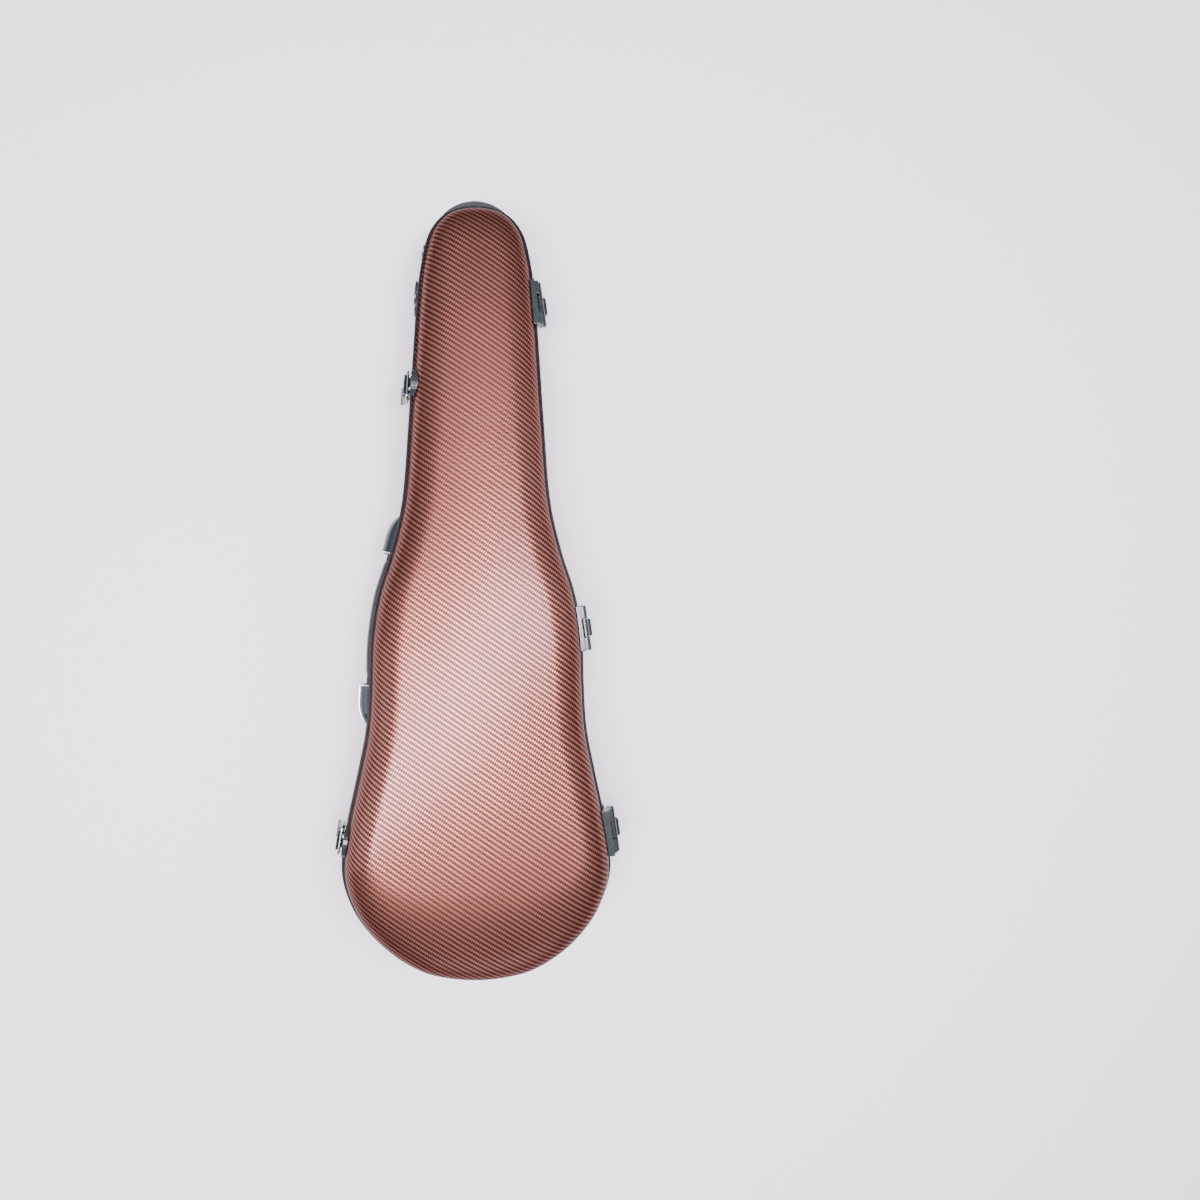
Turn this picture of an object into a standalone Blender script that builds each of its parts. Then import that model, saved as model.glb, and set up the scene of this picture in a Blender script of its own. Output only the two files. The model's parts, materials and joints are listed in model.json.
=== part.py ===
"""Shaped hard violin case, lying closed on its back.

Blender metres, +Z up. The neck end points along +Y, the handle and the latches are on the -X side and the
hinges on the +X side. Lengths below are in millimetres. They are measured in the case frame, whose plane z = 0
is the parting plane between base and lid and whose y is the distance from the bottom end.
"""

import math

import bmesh
import bpy
import numpy as np
from mathutils import Matrix, Vector

MM = 0.001
GAP = 0.3                       # clearance between pieces that touch

# ---------------------------------------------------------------- driving dimensions
LENGTH = 800.0
HALF_OUTLINE = [                # (half width, distance from the bottom end)
    (0, 0), (30, 2.5), (57, 9.5), (92, 31), (121, 64), (135.5, 100), (136.6, 125), (130, 167),
    (120.5, 212), (112.5, 255), (109.8, 300), (108.5, 345), (101.5, 392), (87.5, 437), (76, 487),
    (69, 570), (64.5, 640), (60.5, 697), (56, 738), (46, 775), (28, 794), (0, 800)]
BOUT = 120.0                    # distance of the widest place
NECK = 700.0                    # distance where the neck end begins to close

BASE_DEPTH = 88.0               # at the bout
BASE_SLOPE = (88.0 - 69.0) / (NECK - BOUT)
BASE_ROUND = 0.455              # part of the depth that the rounded corner takes
BASE_SIDE_INSET = 38.0
BASE_END_INSET = {"bottom": (117.0, 250.0), "neck": (85.0, 190.0)}

LID_HEIGHT = 54.0               # at the bout, on the crown
LID_SLOPE = (54.0 - 36.0) / (NECK - BOUT)
LID_CROWN = 6.0
CROWN_RUN = 90.0                # the crown rises over this much of each end
LID_ROUND = 0.56
LID_DRAFT = 3.0
LID_SIDE_INSET = 34.0
LID_END_INSET = {"bottom": (95.0, 210.0), "neck": (45.0, 110.0)}

SHELL = 3.0                     # shell thickness
BAND_HALF = 6.8                 # half the width of the rim band
BAND_PROUD = 2.3
BAND_CROWN = 0.3
TILT = math.radians(-1.40)      # the case lies on its neck foot and its two lower strap anchors

HINGE_PLACES = {"lower": 149.0, "middle": 359.0, "upper": 700.0}
HINGE_AXIS = ((143.0, 149.0), (67.8, 700.0))
HINGE_LENGTH = 47.0
KNUCKLE = 4.0                   # radius
MIDDLE_KNUCKLE = 18.4           # length
HINGE_PIN = 1.5
HINGE_BORE = 1.85
SIDE_FOOT = ((-9.2, 3.0, -13.5), (9.2, 7.8, -3.2))

LATCH_PLACES = {"lower": 141.0, "upper": 612.0}
LEVER_PIVOT = (7.4, -11.0)      # (out from the wall, above the parting plane)
LEVER_INSIDE = 9.5
LEVER_OUTSIDE = 10.6
EAR = 1.8
BAIL_PIVOT = (6.3, -19.0)
BAIL_BAR = (5.8, 8.0)
BAIL_HALF = 14.0
BAIL_WIRE = 1.25
TRUNNION = 2.0
TRUNNION_BORE = 1.55
LATCH_PIN = 0.95

HANDLE_CAPS = {"lower": 279.0, "upper": 456.0}
HANDLE_Z = -24.0
CAP_LENGTH = 40.0
CAP_HALF = 15.0
CAP_HIGH = 13.0
CAP_WALL = 2.0
CAP_HOLLOW = 31.0               # length of the space that the tongue slides in
GRIP_ENDS = (309.0, 430.0)
GRIP_WIDTH = 29.0
TONGUE_HALF = 10.5
TONGUE_ENDS = (272.0, 463.0)    # inside the two caps

ANCHOR_LENGTH = 25.0
ANCHOR_WIDTH = 16.0
RING_RADIUS = 10.9
RING_WIRE = 1.6
RING_BAR = (2.3, 3.0)           # (towards the ring, out of the shell)
SIDE_ANCHOR_Y, BACK_ANCHOR_Y, CORNER_ANCHOR_Y = 718.0, 540.0, 78.0
CORNER_TURN = 8                 # twelfths of the way round the base's corner

END_FOOT = (10.6, -11.0, -46.0)  # radius, outer end, height
NECK_FOOT_Y, NECK_FOOT_RADIUS = 710.0, 10.2

# ---------------------------------------------------------------- the scene
for old in list(bpy.data.objects):
    bpy.data.objects.remove(old)

CASE = bpy.data.collections.new("violin_case")
TOOLS = bpy.data.collections.new("cutters")
bpy.context.scene.collection.children.link(CASE)
bpy.context.scene.collection.children.link(TOOLS)

ROOT = bpy.data.objects.new("case_frame", None)
ROOT.rotation_euler.x = TILT
CASE.objects.link(ROOT)

LOOKS = {                       # colour, roughness, metallic
    "shell": ((0.45, 0.09, 0.05), 0.12, 0.55),
    "band": ((0.012, 0.013, 0.016), 0.38, 0.0),
    "lining": ((0.020, 0.020, 0.028), 0.95, 0.0),
    "black_metal": ((0.015, 0.018, 0.022), 0.22, 0.8),
    "chrome": ((0.60, 0.62, 0.65), 0.10, 1.0),
    "rubber": ((0.010, 0.012, 0.013), 0.55, 0.0),
    "leather": ((0.014, 0.012, 0.012), 0.45, 0.0),
    "webbing": ((0.010, 0.011, 0.013), 0.80, 0.0),
}


def finish(piece, look):
    """Give a piece its own material."""
    colour, roughness, metallic = LOOKS[look]
    material = bpy.data.materials.new(piece.name + "_material")
    material.use_nodes = True
    shader = material.node_tree.nodes["Principled BSDF"]
    shader.inputs["Base Color"].default_value = (*colour, 1.0)
    shader.inputs["Roughness"].default_value = roughness
    shader.inputs["Metallic"].default_value = metallic
    piece.data.materials.clear()
    piece.data.materials.append(material)
    piece.data.shade_smooth()
    piece.data.set_sharp_from_angle(angle=math.radians(35))
    return piece


def cutter(piece):
    """Set a piece aside as a guide that is not part of the case."""
    CASE.objects.unlink(piece)
    TOOLS.objects.link(piece)
    piece.hide_render = True
    piece.display_type = "WIRE"
    return piece


def boolean(piece, other, operation="DIFFERENCE"):
    change = piece.modifiers.new(operation.lower(), "BOOLEAN")
    change.operation = operation
    change.object = other
    return piece


def joined(piece, *others):
    """Union the other pieces into the first."""
    for other in others:
        boolean(piece, cutter(other), "UNION")
    return piece


def pivoted(piece, point):
    """Move a piece's origin to a point on its joint's axis, in case metres."""
    piece.data.transform(Matrix.Translation(-point))
    piece.location = point
    return piece


def from_mesh(name, mesh):
    piece = bpy.data.objects.new(name, mesh)
    CASE.objects.link(piece)
    piece.parent = ROOT
    return piece


def face_outward(bm):
    """Turn every face away from the middle of the piece, also on a shell that is open on one side."""
    bmesh.ops.recalc_face_normals(bm, faces=bm.faces)
    middle = sum((vertex.co for vertex in bm.verts), Vector()) / len(bm.verts)
    if sum(f.calc_area() * f.normal.dot(f.calc_center_median() - middle) for f in bm.faces) < 0:
        bmesh.ops.reverse_faces(bm, faces=bm.faces)


PLAN = Matrix.Scale(MM, 4) @ Matrix.Translation((0, -LENGTH / 2, 0))      # case millimetres to metres
UPRIGHT = Matrix(((1, 0, 0, 0), (0, 0, 1, 0), (0, 1, 0, 0), (0, 0, 0, 1)))   # stands a flat outline on edge
UVW_FROM_SECTION = Matrix(((0, 0, 1, 0), (1, 0, 0, 0), (0, 1, 0, 0), (0, 0, 0, 1)))


def from_bmesh(name, bm, frame):
    bmesh.ops.transform(bm, matrix=frame, verts=bm.verts)
    face_outward(bm)
    mesh = bpy.data.meshes.new(name)
    bm.to_mesh(mesh)
    bm.free()
    return from_mesh(name, mesh)


# ---------------------------------------------------------------- the outline
def curve_through(points, steps):
    """A closed centripetal Catmull-Rom curve, with this many steps for each span."""
    points = np.asarray(points, float)
    p0, p1, p2, p3 = (np.roll(points, shift, axis=0) for shift in (1, 0, -1, -2))
    a, b, c = (np.sqrt(np.linalg.norm(q - p, axis=1))[:, None] for p, q in ((p0, p1), (p1, p2), (p2, p3)))
    leave = b * ((p1 - p0) / a - (p2 - p0) / (a + b) + (p2 - p1) / b)
    arrive = b * ((p2 - p1) / b - (p3 - p1) / (b + c) + (p3 - p2) / c)
    rows = []
    for t in np.linspace(0, 1, steps, endpoint=False):
        rows.append((2 * t**3 - 3 * t**2 + 1) * p1 + (t**3 - 2 * t**2 + t) * leave
                    + (3 * t**2 - 2 * t**3) * p2 + (t**3 - t**2) * arrive)
    return np.stack(rows, axis=1).reshape(-1, points.shape[1])


def mirrored(half):
    """The closed outline of a half, given from its first point on the axis to its last."""
    return [*half, *((-x, y) for x, y in half[-2:0:-1])]


DENSE = curve_through(mirrored(HALF_OUTLINE), 24)
RIGHT = DENSE[: len(DENSE) // 2 + 1]


def half_width(y):
    return float(np.interp(y, RIGHT[:, 1], RIGHT[:, 0]))


def outline(count, straight=0.02):
    """The closed outline as rows of x, y, nx, ny, with stations spaced so that every chord strays alike."""
    step = np.diff(RIGHT, axis=0)
    length = np.linalg.norm(step, axis=1)
    angle = np.unwrap(np.arctan2(step[:, 1], step[:, 0]))
    bend = np.abs(np.diff(angle, append=angle[-1]))
    measure = np.concatenate([[0], np.cumsum(np.sqrt(bend * length + (straight * length) ** 2))])
    places = np.linspace(0, measure[-1], count)
    x, y = (np.interp(places, measure, RIGHT[:, k]) for k in (0, 1))
    middle = (measure[1:] + measure[:-1]) / 2
    heading = np.interp(places, middle, angle)
    heading[0], heading[-1] = 0.0, math.pi
    half = np.stack([x, y, np.sin(heading), -np.cos(heading)], axis=1)
    other = half[-2:0:-1] * (-1, 1, -1, 1)
    return np.concatenate([half, other])


COARSE = outline(38)
FINE = outline(100)


# ---------------------------------------------------------------- the two halves
def base_depth(y):
    return BASE_DEPTH - BASE_SLOPE * (y - BOUT)


def lid_height(y):
    return LID_HEIGHT - LID_CROWN - LID_SLOPE * (y - BOUT)


def inner_ring(loop, side_inset, end_inset):
    """Where the rounded corner meets the flat: inset at the sides and drawn in at the ends."""
    x, y = loop[:, 0], loop[:, 1]
    reference = np.array([half_width(d) for d in np.clip(y, BOUT, NECK)])
    amount, reach = end_inset["bottom"]
    drawn = y + amount * np.clip(1 - y / reach, 0, 1) ** 2
    amount, reach = end_inset["neck"]
    drawn = drawn - amount * np.clip(1 - (LENGTH - y) / reach, 0, 1) ** 2
    return np.stack([x * (1 - side_inset / reference), drawn], axis=1)


def corner_rings(loop, offset, steps, inset, height, part, draft):
    """Rings from the top of the wall round the corner to the flat, with height counted outward."""
    inner = inner_ring(loop, *inset)
    start = loop[:, :2] + loop[:, 2:] * (offset - draft)
    tall = part * height(loop[:, 1])
    rings = []
    for t in np.linspace(0, math.pi / 2, steps + 1):
        plan = start + (inner - loop[:, :2] - loop[:, 2:] * (offset - draft)) * (1 - math.cos(t))
        rise = height(plan[:, 1]) - tall + (tall + offset) * math.sin(t)
        rings.append(np.column_stack([plan, rise]))
    return rings


def base_corner(loop, offset, steps):
    rings = corner_rings(loop, offset, steps, (BASE_SIDE_INSET, BASE_END_INSET), base_depth, BASE_ROUND, 0)
    return [ring * (1, 1, -1) for ring in rings]


def lid_corner(loop, offset, steps):
    return corner_rings(
        loop, offset, steps, (LID_SIDE_INSET, LID_END_INSET), lid_height, LID_ROUND, LID_DRAFT)


def level_ring(loop, offset, z):
    return np.column_stack([loop[:, :2] + loop[:, 2:] * offset, np.full(len(loop), z)])


def ring_faces(bm, rings):
    """The faces between closed rings of vertices, one ring after another."""
    for low, high in zip(rings, rings[1:]):
        for i in range(len(low)):
            j = (i + 1) % len(low)
            bm.faces.new((low[i], low[j], high[j], high[i]))


def lofted(name, rings, first_cap=False, last_cap=False, crown=0.0, columns=1):
    """A skin through the rings. The last cap may be crowned, in columns across the case."""
    bm = bmesh.new()
    verts = [[bm.verts.new(point) for point in ring] for ring in rings]
    ring_faces(bm, verts)
    if first_cap:
        bm.faces.new(verts[0][::-1])
    if last_cap and columns == 1:
        bm.faces.new(verts[-1])
    elif last_cap:
        crowned_cap(bm, verts[-1], crown, columns)
    return from_bmesh(name, bm, PLAN)


def eased(part):
    return 1 - (1 - min(1.0, part)) ** 2


def crowned_cap(bm, ring, crown, columns):
    """Close a ring with strips that run along the case and rise to its middle."""
    half = len(ring) // 2
    rows = []
    for k in range(1, half):
        right, left = ring[k], ring[-k]
        bulge = crown * eased((right.co.y - ring[0].co.y) / CROWN_RUN) * eased(
            (ring[half].co.y - right.co.y) / CROWN_RUN)
        row = [right]
        for c in range(1, columns):
            across = 1 - 2 * c / columns
            place = (right.co.x * across, right.co.y, right.co.z + bulge * (1 - across**2))
            row.append(bm.verts.new(place))
        rows.append([*row, left])
    for low, high in zip(rows, rows[1:]):
        for c in range(columns):
            bm.faces.new((low[c], high[c], high[c + 1], low[c + 1]))
    for c in range(columns):
        bm.faces.new((ring[0], rows[0][c], rows[0][c + 1]))
        bm.faces.new((ring[half], rows[-1][c + 1], rows[-1][c]))


def solidified(piece, thickness):
    change = piece.modifiers.new("wall", "SOLIDIFY")
    change.thickness = thickness * MM
    change.offset = -1
    change.use_even_offset = True
    return piece


def swept(name, profile, loop):
    """A closed band of this (outward, up) profile, swept round the outline."""
    bm = bmesh.new()
    rings = [[bm.verts.new(point) for point in level_ring(loop, out, up)] for out, up in profile]
    ring_faces(bm, [*rings, rings[0]])
    return from_bmesh(name, bm, PLAN)


def band_profile(sign):
    """Half of the rim band: a proud, slightly crowned outer face and a flange over the shell's edge."""
    inner, flange, meeting = -5.5, 2.6, 0.2
    return [
        (BAND_PROUD, sign * meeting), (BAND_PROUD + BAND_CROWN, sign * BAND_HALF / 2),
        (BAND_PROUD, sign * BAND_HALF), (GAP, sign * BAND_HALF), (GAP, sign * flange), (inner, sign * flange),
        (inner, sign * meeting)]


CLEAR = BAND_PROUD + BAND_CROWN + GAP
SEAT = 0.45                     # clearance under what sits on the curved shell
BASE_ENVELOPE = cutter(lofted("base_envelope", [
    level_ring(FINE, CLEAR, 40), level_ring(FINE, CLEAR, -BAND_HALF - GAP),
    level_ring(FINE, SEAT, -BAND_HALF - GAP), *base_corner(FINE, SEAT, 12)], True, True))
LID_ENVELOPE = cutter(lofted("lid_envelope", [
    level_ring(FINE, CLEAR, -40), level_ring(FINE, CLEAR, BAND_HALF + GAP),
    level_ring(FINE, SEAT, BAND_HALF + GAP), *lid_corner(FINE, SEAT, 8)], True, True, LID_CROWN, 6))

finish(solidified(lofted("base_shell", [
    level_ring(COARSE, 0, -3.0), *base_corner(COARSE, 0, 5)], False, True), SHELL), "shell")
lid_skin = lofted("lid_shell", [
    level_ring(COARSE, 0, 3.2), level_ring(COARSE, 0, 7.4), *lid_corner(COARSE, 0, 4)],
    False, True, LID_CROWN, 4)
finish(solidified(lid_skin, SHELL), "shell")
finish(swept("base_rim", band_profile(-1), COARSE), "band")
finish(swept("lid_rim", band_profile(1), COARSE), "band")


# ---------------------------------------------------------------- local frames and simple shapes
def axes_frame(origin, u, v, w):
    """A frame whose local millimetres become case metres."""
    return PLAN @ Matrix.Translation(Vector(origin)) @ Matrix((u, v, w)).transposed().to_4x4()


def wall_frame(side, y, z=0.0):
    """On the outer wall: u along the case, v out of the wall, w up. side is +1 or -1 in x."""
    ahead = half_width(y + 1) - half_width(y - 1)
    along = Vector((side * ahead, 2.0, 0.0)).normalized()
    up = Vector((0, 0, 1))
    if side > 0:
        along = -along
    return axes_frame((side * half_width(y), y, z), along, up.cross(along), up)


def block(name, frame, low, high, rounding=0.0):
    bm = bmesh.new()
    low, high = Vector(low), Vector(high)
    size = high - low
    bmesh.ops.create_cube(bm, size=1.0)
    bmesh.ops.transform(bm, verts=bm.verts, matrix=Matrix.Translation((low + high) / 2) @ Matrix.Diagonal(
        (*size, 1.0)))
    if rounding:
        bmesh.ops.bevel(bm, geom=bm.edges, offset=rounding, segments=2, affect="EDGES", profile=0.5)
    return from_bmesh(name, bm, frame)


def rod(name, frame, start, end, radius, sides=16, end_radius=None):
    """A cylinder or cone between two points."""
    start, end = Vector(start), Vector(end)
    bm = bmesh.new()
    bmesh.ops.create_cone(
        bm, cap_ends=True, segments=sides, radius1=radius, radius2=radius if end_radius is None else end_radius,
        depth=(end - start).length)
    turn = Vector((0, 0, 1)).rotation_difference(end - start).to_matrix().to_4x4()
    bmesh.ops.transform(bm, verts=bm.verts, matrix=Matrix.Translation((start + end) / 2) @ turn)
    return from_bmesh(name, bm, frame)


def from_curve(name, curve, frame):
    """The mesh of a curve, its caps welded, in place of the curve."""
    guide = bpy.data.objects.new(name + "_guide", curve)
    CASE.objects.link(guide)
    graph = bpy.context.evaluated_depsgraph_get()
    mesh = bpy.data.meshes.new_from_object(guide.evaluated_get(graph))
    bpy.data.objects.remove(guide)
    bm = bmesh.new()
    bm.from_mesh(mesh)
    bmesh.ops.remove_doubles(bm, verts=bm.verts, dist=0.001)
    return from_bmesh(name, bm, frame)


def slab(name, frame, points, low, high):
    """A flat outline in local x and y, filled and thickened from low to high."""
    curve = bpy.data.curves.new(name, "CURVE")
    curve.dimensions = "2D"
    curve.fill_mode = "BOTH"
    curve.extrude = (high - low) / 2
    spline = curve.splines.new("POLY")
    spline.points.add(len(points) - 1)
    for point, place in zip(spline.points, points):
        point.co = (place[0], place[1], 0, 1)
    spline.use_cyclic_u = True
    return from_curve(name, curve, frame @ Matrix.Translation((0, 0, (low + high) / 2)))


def tube(name, frame, points, radius, closed=False, resolution=2):
    curve = bpy.data.curves.new(name, "CURVE")
    curve.dimensions = "3D"
    curve.bevel_depth = radius
    curve.bevel_resolution = resolution
    curve.use_fill_caps = not closed
    spline = curve.splines.new("POLY")
    spline.points.add(len(points) - 1)
    for point, place in zip(spline.points, points):
        point.co = (*place, 1)
    spline.use_cyclic_u = closed
    return from_curve(name, curve, frame)


def arc(centre, radius, start, end, steps):
    """Points on an arc in two dimensions, angles in degrees."""
    return [
        (centre[0] + radius * math.cos(math.radians(a)), centre[1] + radius * math.sin(math.radians(a)))
        for a in np.linspace(start, end, steps + 1)]


def oval(length, width, steps=6):
    """A flat-sided oval centred on the origin, long in local x."""
    r = width / 2
    return arc((length / 2 - r, 0), r, -90, 90, steps) + arc((r - length / 2, 0), r, 90, 270, steps)


# ---------------------------------------------------------------- hinges
AXIS_START, AXIS_END = (Vector((*place, 0.0)) for place in HINGE_AXIS)
AXIS_ALONG = (AXIS_START - AXIS_END).normalized()


def hinge_frame(y):
    """On the hinge axis: u along it towards the bottom end, v outward, w up."""
    part = (y - AXIS_START.y) / (AXIS_END.y - AXIS_START.y)
    up = Vector((0, 0, 1))
    return axes_frame(AXIS_START.lerp(AXIS_END, part), AXIS_ALONG, up.cross(AXIS_ALONG), up)


HINGE_POINT = hinge_frame(HINGE_PLACES["middle"]).translation


def hinge(place, y):
    frame = hinge_frame(y)
    end, middle = HINGE_LENGTH / 2, MIDDLE_KNUCKLE / 2
    lid_top = 16.0 if y > BOUT + 200 else 20.0
    bore = cutter(rod(f"hinge_{place}_bore", frame, (-end - 2, 0, 0), (end + 2, 0, 0), HINGE_BORE))

    leaf = joined(
        rod(f"hinge_{place}_base_leaf", frame, (-middle, 0, 0), (middle, 0, 0), KNUCKLE),
        block(f"hinge_{place}_base_arm", frame, (0.4 - middle, -9, -13), (middle - 0.4, 2.4, -1.2)),
        block(f"hinge_{place}_base_flange", frame, (-end, -16, -27), (end, -4.6, -8.6)))
    finish(boolean(boolean(leaf, BASE_ENVELOPE), bore), "black_metal")

    first = rod(f"hinge_{place}_lid_leaf", frame, (-end, 0, 0), (-middle - GAP, 0, 0), KNUCKLE)
    second = rod(f"hinge_{place}_lid_knuckle", frame, (middle + GAP, 0, 0), (end, 0, 0), KNUCKLE)
    arms = [
        block(f"hinge_{place}_lid_arm_{i}", frame, (low + 0.4, -9, 1.0), (high - 0.4, -0.4, 11))
        for i, (low, high) in enumerate(((-end, -middle - GAP), (middle + GAP, end)))]
    flange = block(f"hinge_{place}_lid_flange", frame, (-end, -18, 9.6), (end, -4.6, lid_top))
    leaf = joined(first, arms[0], flange, arms[1], second)
    finish(boolean(boolean(leaf, LID_ENVELOPE), bore), "black_metal")
    pivoted(leaf, HINGE_POINT)

    finish(rod(f"hinge_{place}_pin", frame, (-end, 0, 0), (end, 0, 0), HINGE_PIN), "chrome")
    foot = block(f"side_foot_{place}", frame, *SIDE_FOOT, 2.0)
    clearance = cutter(block(f"side_foot_{place}_seat", frame, (-12, -2, -14), (12, 2.7, 6)))
    knuckle = cutter(rod(f"side_foot_{place}_knuckle", frame, (-12, 0, 0), (12, 0, 0), KNUCKLE + GAP))
    finish(boolean(boolean(foot, clearance), knuckle), "rubber")


for place, y in HINGE_PLACES.items():
    hinge(place, y)


# ---------------------------------------------------------------- latches
def latch(place, y):
    frame = wall_frame(-1, y)
    section = frame @ UVW_FROM_SECTION
    out, up = LEVER_PIVOT
    bail_out, bail_up = BAIL_PIVOT

    plate = block(f"latch_{place}_plate", frame, (-7.9, -6, -40), (7.9, 1.8, -8.4))
    ears = []
    for side in (-1, 1):
        near, far = sorted((side * 6.4, side * 7.8))
        side_view = [(0.8, up - EAR), *arc((out, up), EAR, -90, 90, 8), (0.8, up + EAR)]
        ears.append(slab(f"latch_{place}_ear_{side}", section, side_view, near, far))
    bore = cutter(rod(f"latch_{place}_ear_bore", frame, (-9, out, up), (9, out, up), 1.25))
    boolean(boolean(joined(plate, *ears), BASE_ENVELOPE), bore)
    finish(plate, "black_metal")
    finish(rod(f"latch_{place}_pin", frame, (-9.8, out, up), (9.8, out, up), LATCH_PIN), "chrome")

    inside, outside = LEVER_INSIDE, LEVER_OUTSIDE
    lever_profile = [
        (inside, up + 2.4), (outside, up + 2.0), (outside, -40), (outside + 0.6, -44), (outside + 2.2, -47.6),
        (outside + 3.4, -49.6), (outside + 2.4, -50.6), (outside + 0.8, -49.0), (inside + 0.6, -45.5),
        (inside, -40)]
    lever = slab(f"latch_{place}_lever", section, lever_profile, -9.2, 9.2)
    for side in (-1, 1):
        near, far = sorted((side * 8.2, side * 9.6))
        cheek = [
            (out - 2.4, up), (out - 1.7, up + 1.7), (out, up + 2.4), (inside + 0.5, up + 2.4),
            (inside + 0.5, -40), (inside - 1.5, -40), (bail_out + 0.5, bail_up - 6),
            (bail_out - 2.4, bail_up - 4), (bail_out - 3.2, bail_up)]
        joined(lever, slab(f"latch_{place}_cheek_{side}", section, cheek, near, far))
    pin_bore = cutter(rod(f"latch_{place}_lever_bore", frame, (-11, out, up), (11, out, up), 1.35))
    trunnion_bore = cutter(rod(
        f"latch_{place}_trunnion_bore", frame, (-11, bail_out, bail_up), (11, bail_out, bail_up),
        TRUNNION + GAP))
    finish(boolean(boolean(lever, pin_bore), trunnion_bore), "black_metal")
    pivoted(lever, frame @ Vector((0, out, up)))

    trunnion = rod(
        f"latch_{place}_trunnion", frame, (-9.9, bail_out, bail_up), (9.9, bail_out, bail_up), TRUNNION)
    sleeve = cutter(rod(
        f"latch_{place}_sleeve", frame, (-11, bail_out, bail_up), (11, bail_out, bail_up), TRUNNION_BORE))
    pivoted(finish(boolean(trunnion, sleeve), "chrome"), frame @ Vector((0, bail_out, bail_up)))

    bar_out, bar_up = BAIL_BAR
    wire = []
    for side in (-1, 1):
        leg = [(side * 6.5, bail_out, bail_up), (side * (BAIL_HALF - 1.6), bail_out, bail_up),
               (side * (BAIL_HALF - 0.4), bail_out, bail_up + 0.5), (side * BAIL_HALF, bail_out, bail_up + 1.8),
               (side * BAIL_HALF, bar_out, bar_up - 2.4), (side * (BAIL_HALF - 0.7), bar_out, bar_up - 0.7),
               (side * (BAIL_HALF - 2.4), bar_out, bar_up)]
        wire.append(leg)
    bail = tube(f"latch_{place}_bail", frame, wire[0] + wire[1][::-1], BAIL_WIRE)
    pivoted(finish(bail, "chrome"), frame @ Vector((0, bail_out, bail_up)))

    hook = [
        (-6, 12.5), (2.2, 12.5), (2.6, 10.5), (4.2, 8.0), (4.2, 6.45), (7.7, 6.45), (8.1, 6.9), (8.1, 9.2),
        (9.0, 9.6), (9.5, 8.8), (9.5, 4.5), (8.6, 1.0), (6.4, -2.6), (4.0, -4.6), (2.9, -4.8), (2.0, 0)]
    keeper = slab(f"latch_{place}_keeper", section, hook, -10, 10)
    fan = [(-9, 9.5), (9, 9.5), *arc((0, 4.5), 18.5, 40, 140, 8)]
    rivets = [
        rod(f"latch_{place}_rivet_{side}", frame, (side * 6.5, 1, 17.3), (side * 6.5, 3.1, 17.3), 2.2, 12, 1.5)
        for side in (-1, 1)]
    joined(keeper, slab(f"latch_{place}_fan", frame @ UPRIGHT, fan, -6, 2.1), *rivets)
    finish(boolean(keeper, LID_ENVELOPE), "black_metal")
    pivoted(keeper, HINGE_POINT)


for place, y in LATCH_PLACES.items():
    latch(place, y)


# ---------------------------------------------------------------- side handle
def wall_strip(start, end, near, far, steps):
    """An outline in plan that follows the handle wall from one distance to another."""
    rows = []
    for y in np.linspace(start, end, steps + 1):
        frame = wall_frame(-1, y)
        place = frame.translation / MM + Vector((0, LENGTH / 2, 0))
        out = frame.col[1].xyz.normalized()
        rows.append([(place.x + out.x * d, place.y + out.y * d) for d in (near, far)])
    return [row[0] for row in rows] + [row[1] for row in rows[::-1]]


def handle_cap(place, y):
    """A half-round cap, high at its mouth and closed and rounded at its outer end."""
    frame = wall_frame(-1, y, HANDLE_Z)
    mouth = 1 if place == "lower" else -1
    low = -8.0
    bm = bmesh.new()
    rings = []
    for part, high, wide in (
            (0, 1.0, 1.0), (0.35, 0.97, 1.0), (0.7, 0.88, 0.98), (0.9, 0.74, 0.92), (1, 0.5, 0.82)):
        u = mouth * CAP_LENGTH * (0.5 - part)
        ring = [(u, high * CAP_HIGH * math.sin(a), wide * CAP_HALF * math.cos(a))
                for a in np.linspace(0, math.pi, 15)]
        ring += [(u, low, -CAP_HALF * wide), (u, low, CAP_HALF * wide)]
        rings.append([bm.verts.new(point) for point in ring])
    ring_faces(bm, rings)
    bm.faces.new(rings[0][::-1])
    bm.faces.new(rings[-1])
    cap = from_bmesh(f"handle_cap_{place}", bm, frame)
    inside = frame @ Matrix.Diagonal((1, CAP_HIGH - CAP_WALL, CAP_HALF - CAP_WALL, 1))
    ends = [(mouth * u, 0, 0) for u in (CAP_LENGTH / 2 + 3, CAP_LENGTH / 2 - CAP_HOLLOW)]
    hollow = cutter(rod(f"handle_cap_{place}_hollow", inside, *ends, 1, 24))
    finish(boolean(boolean(cap, BASE_ENVELOPE), hollow), "chrome")


for place, y in HANDLE_CAPS.items():
    handle_cap(place, y)

HANDLE_FRAME = PLAN @ Matrix.Translation((0, 0, HANDLE_Z))
grip = slab("handle_grip", HANDLE_FRAME, wall_strip(*GRIP_ENDS, 1.8, 7.0, 14), -GRIP_WIDTH / 2, GRIP_WIDTH / 2)
pivoted(finish(grip, "leather"), wall_frame(-1, sum(GRIP_ENDS) / 2, HANDLE_Z).translation)
tongues = {"lower": (TONGUE_ENDS[0], GRIP_ENDS[0] - GAP), "upper": (GRIP_ENDS[1] + GAP, TONGUE_ENDS[1])}
for place, ends in tongues.items():
    strip = wall_strip(*ends, 2.6, 5.0, 5)
    finish(slab(f"handle_tongue_{place}", HANDLE_FRAME, strip, -TONGUE_HALF, TONGUE_HALF), "leather")


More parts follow.
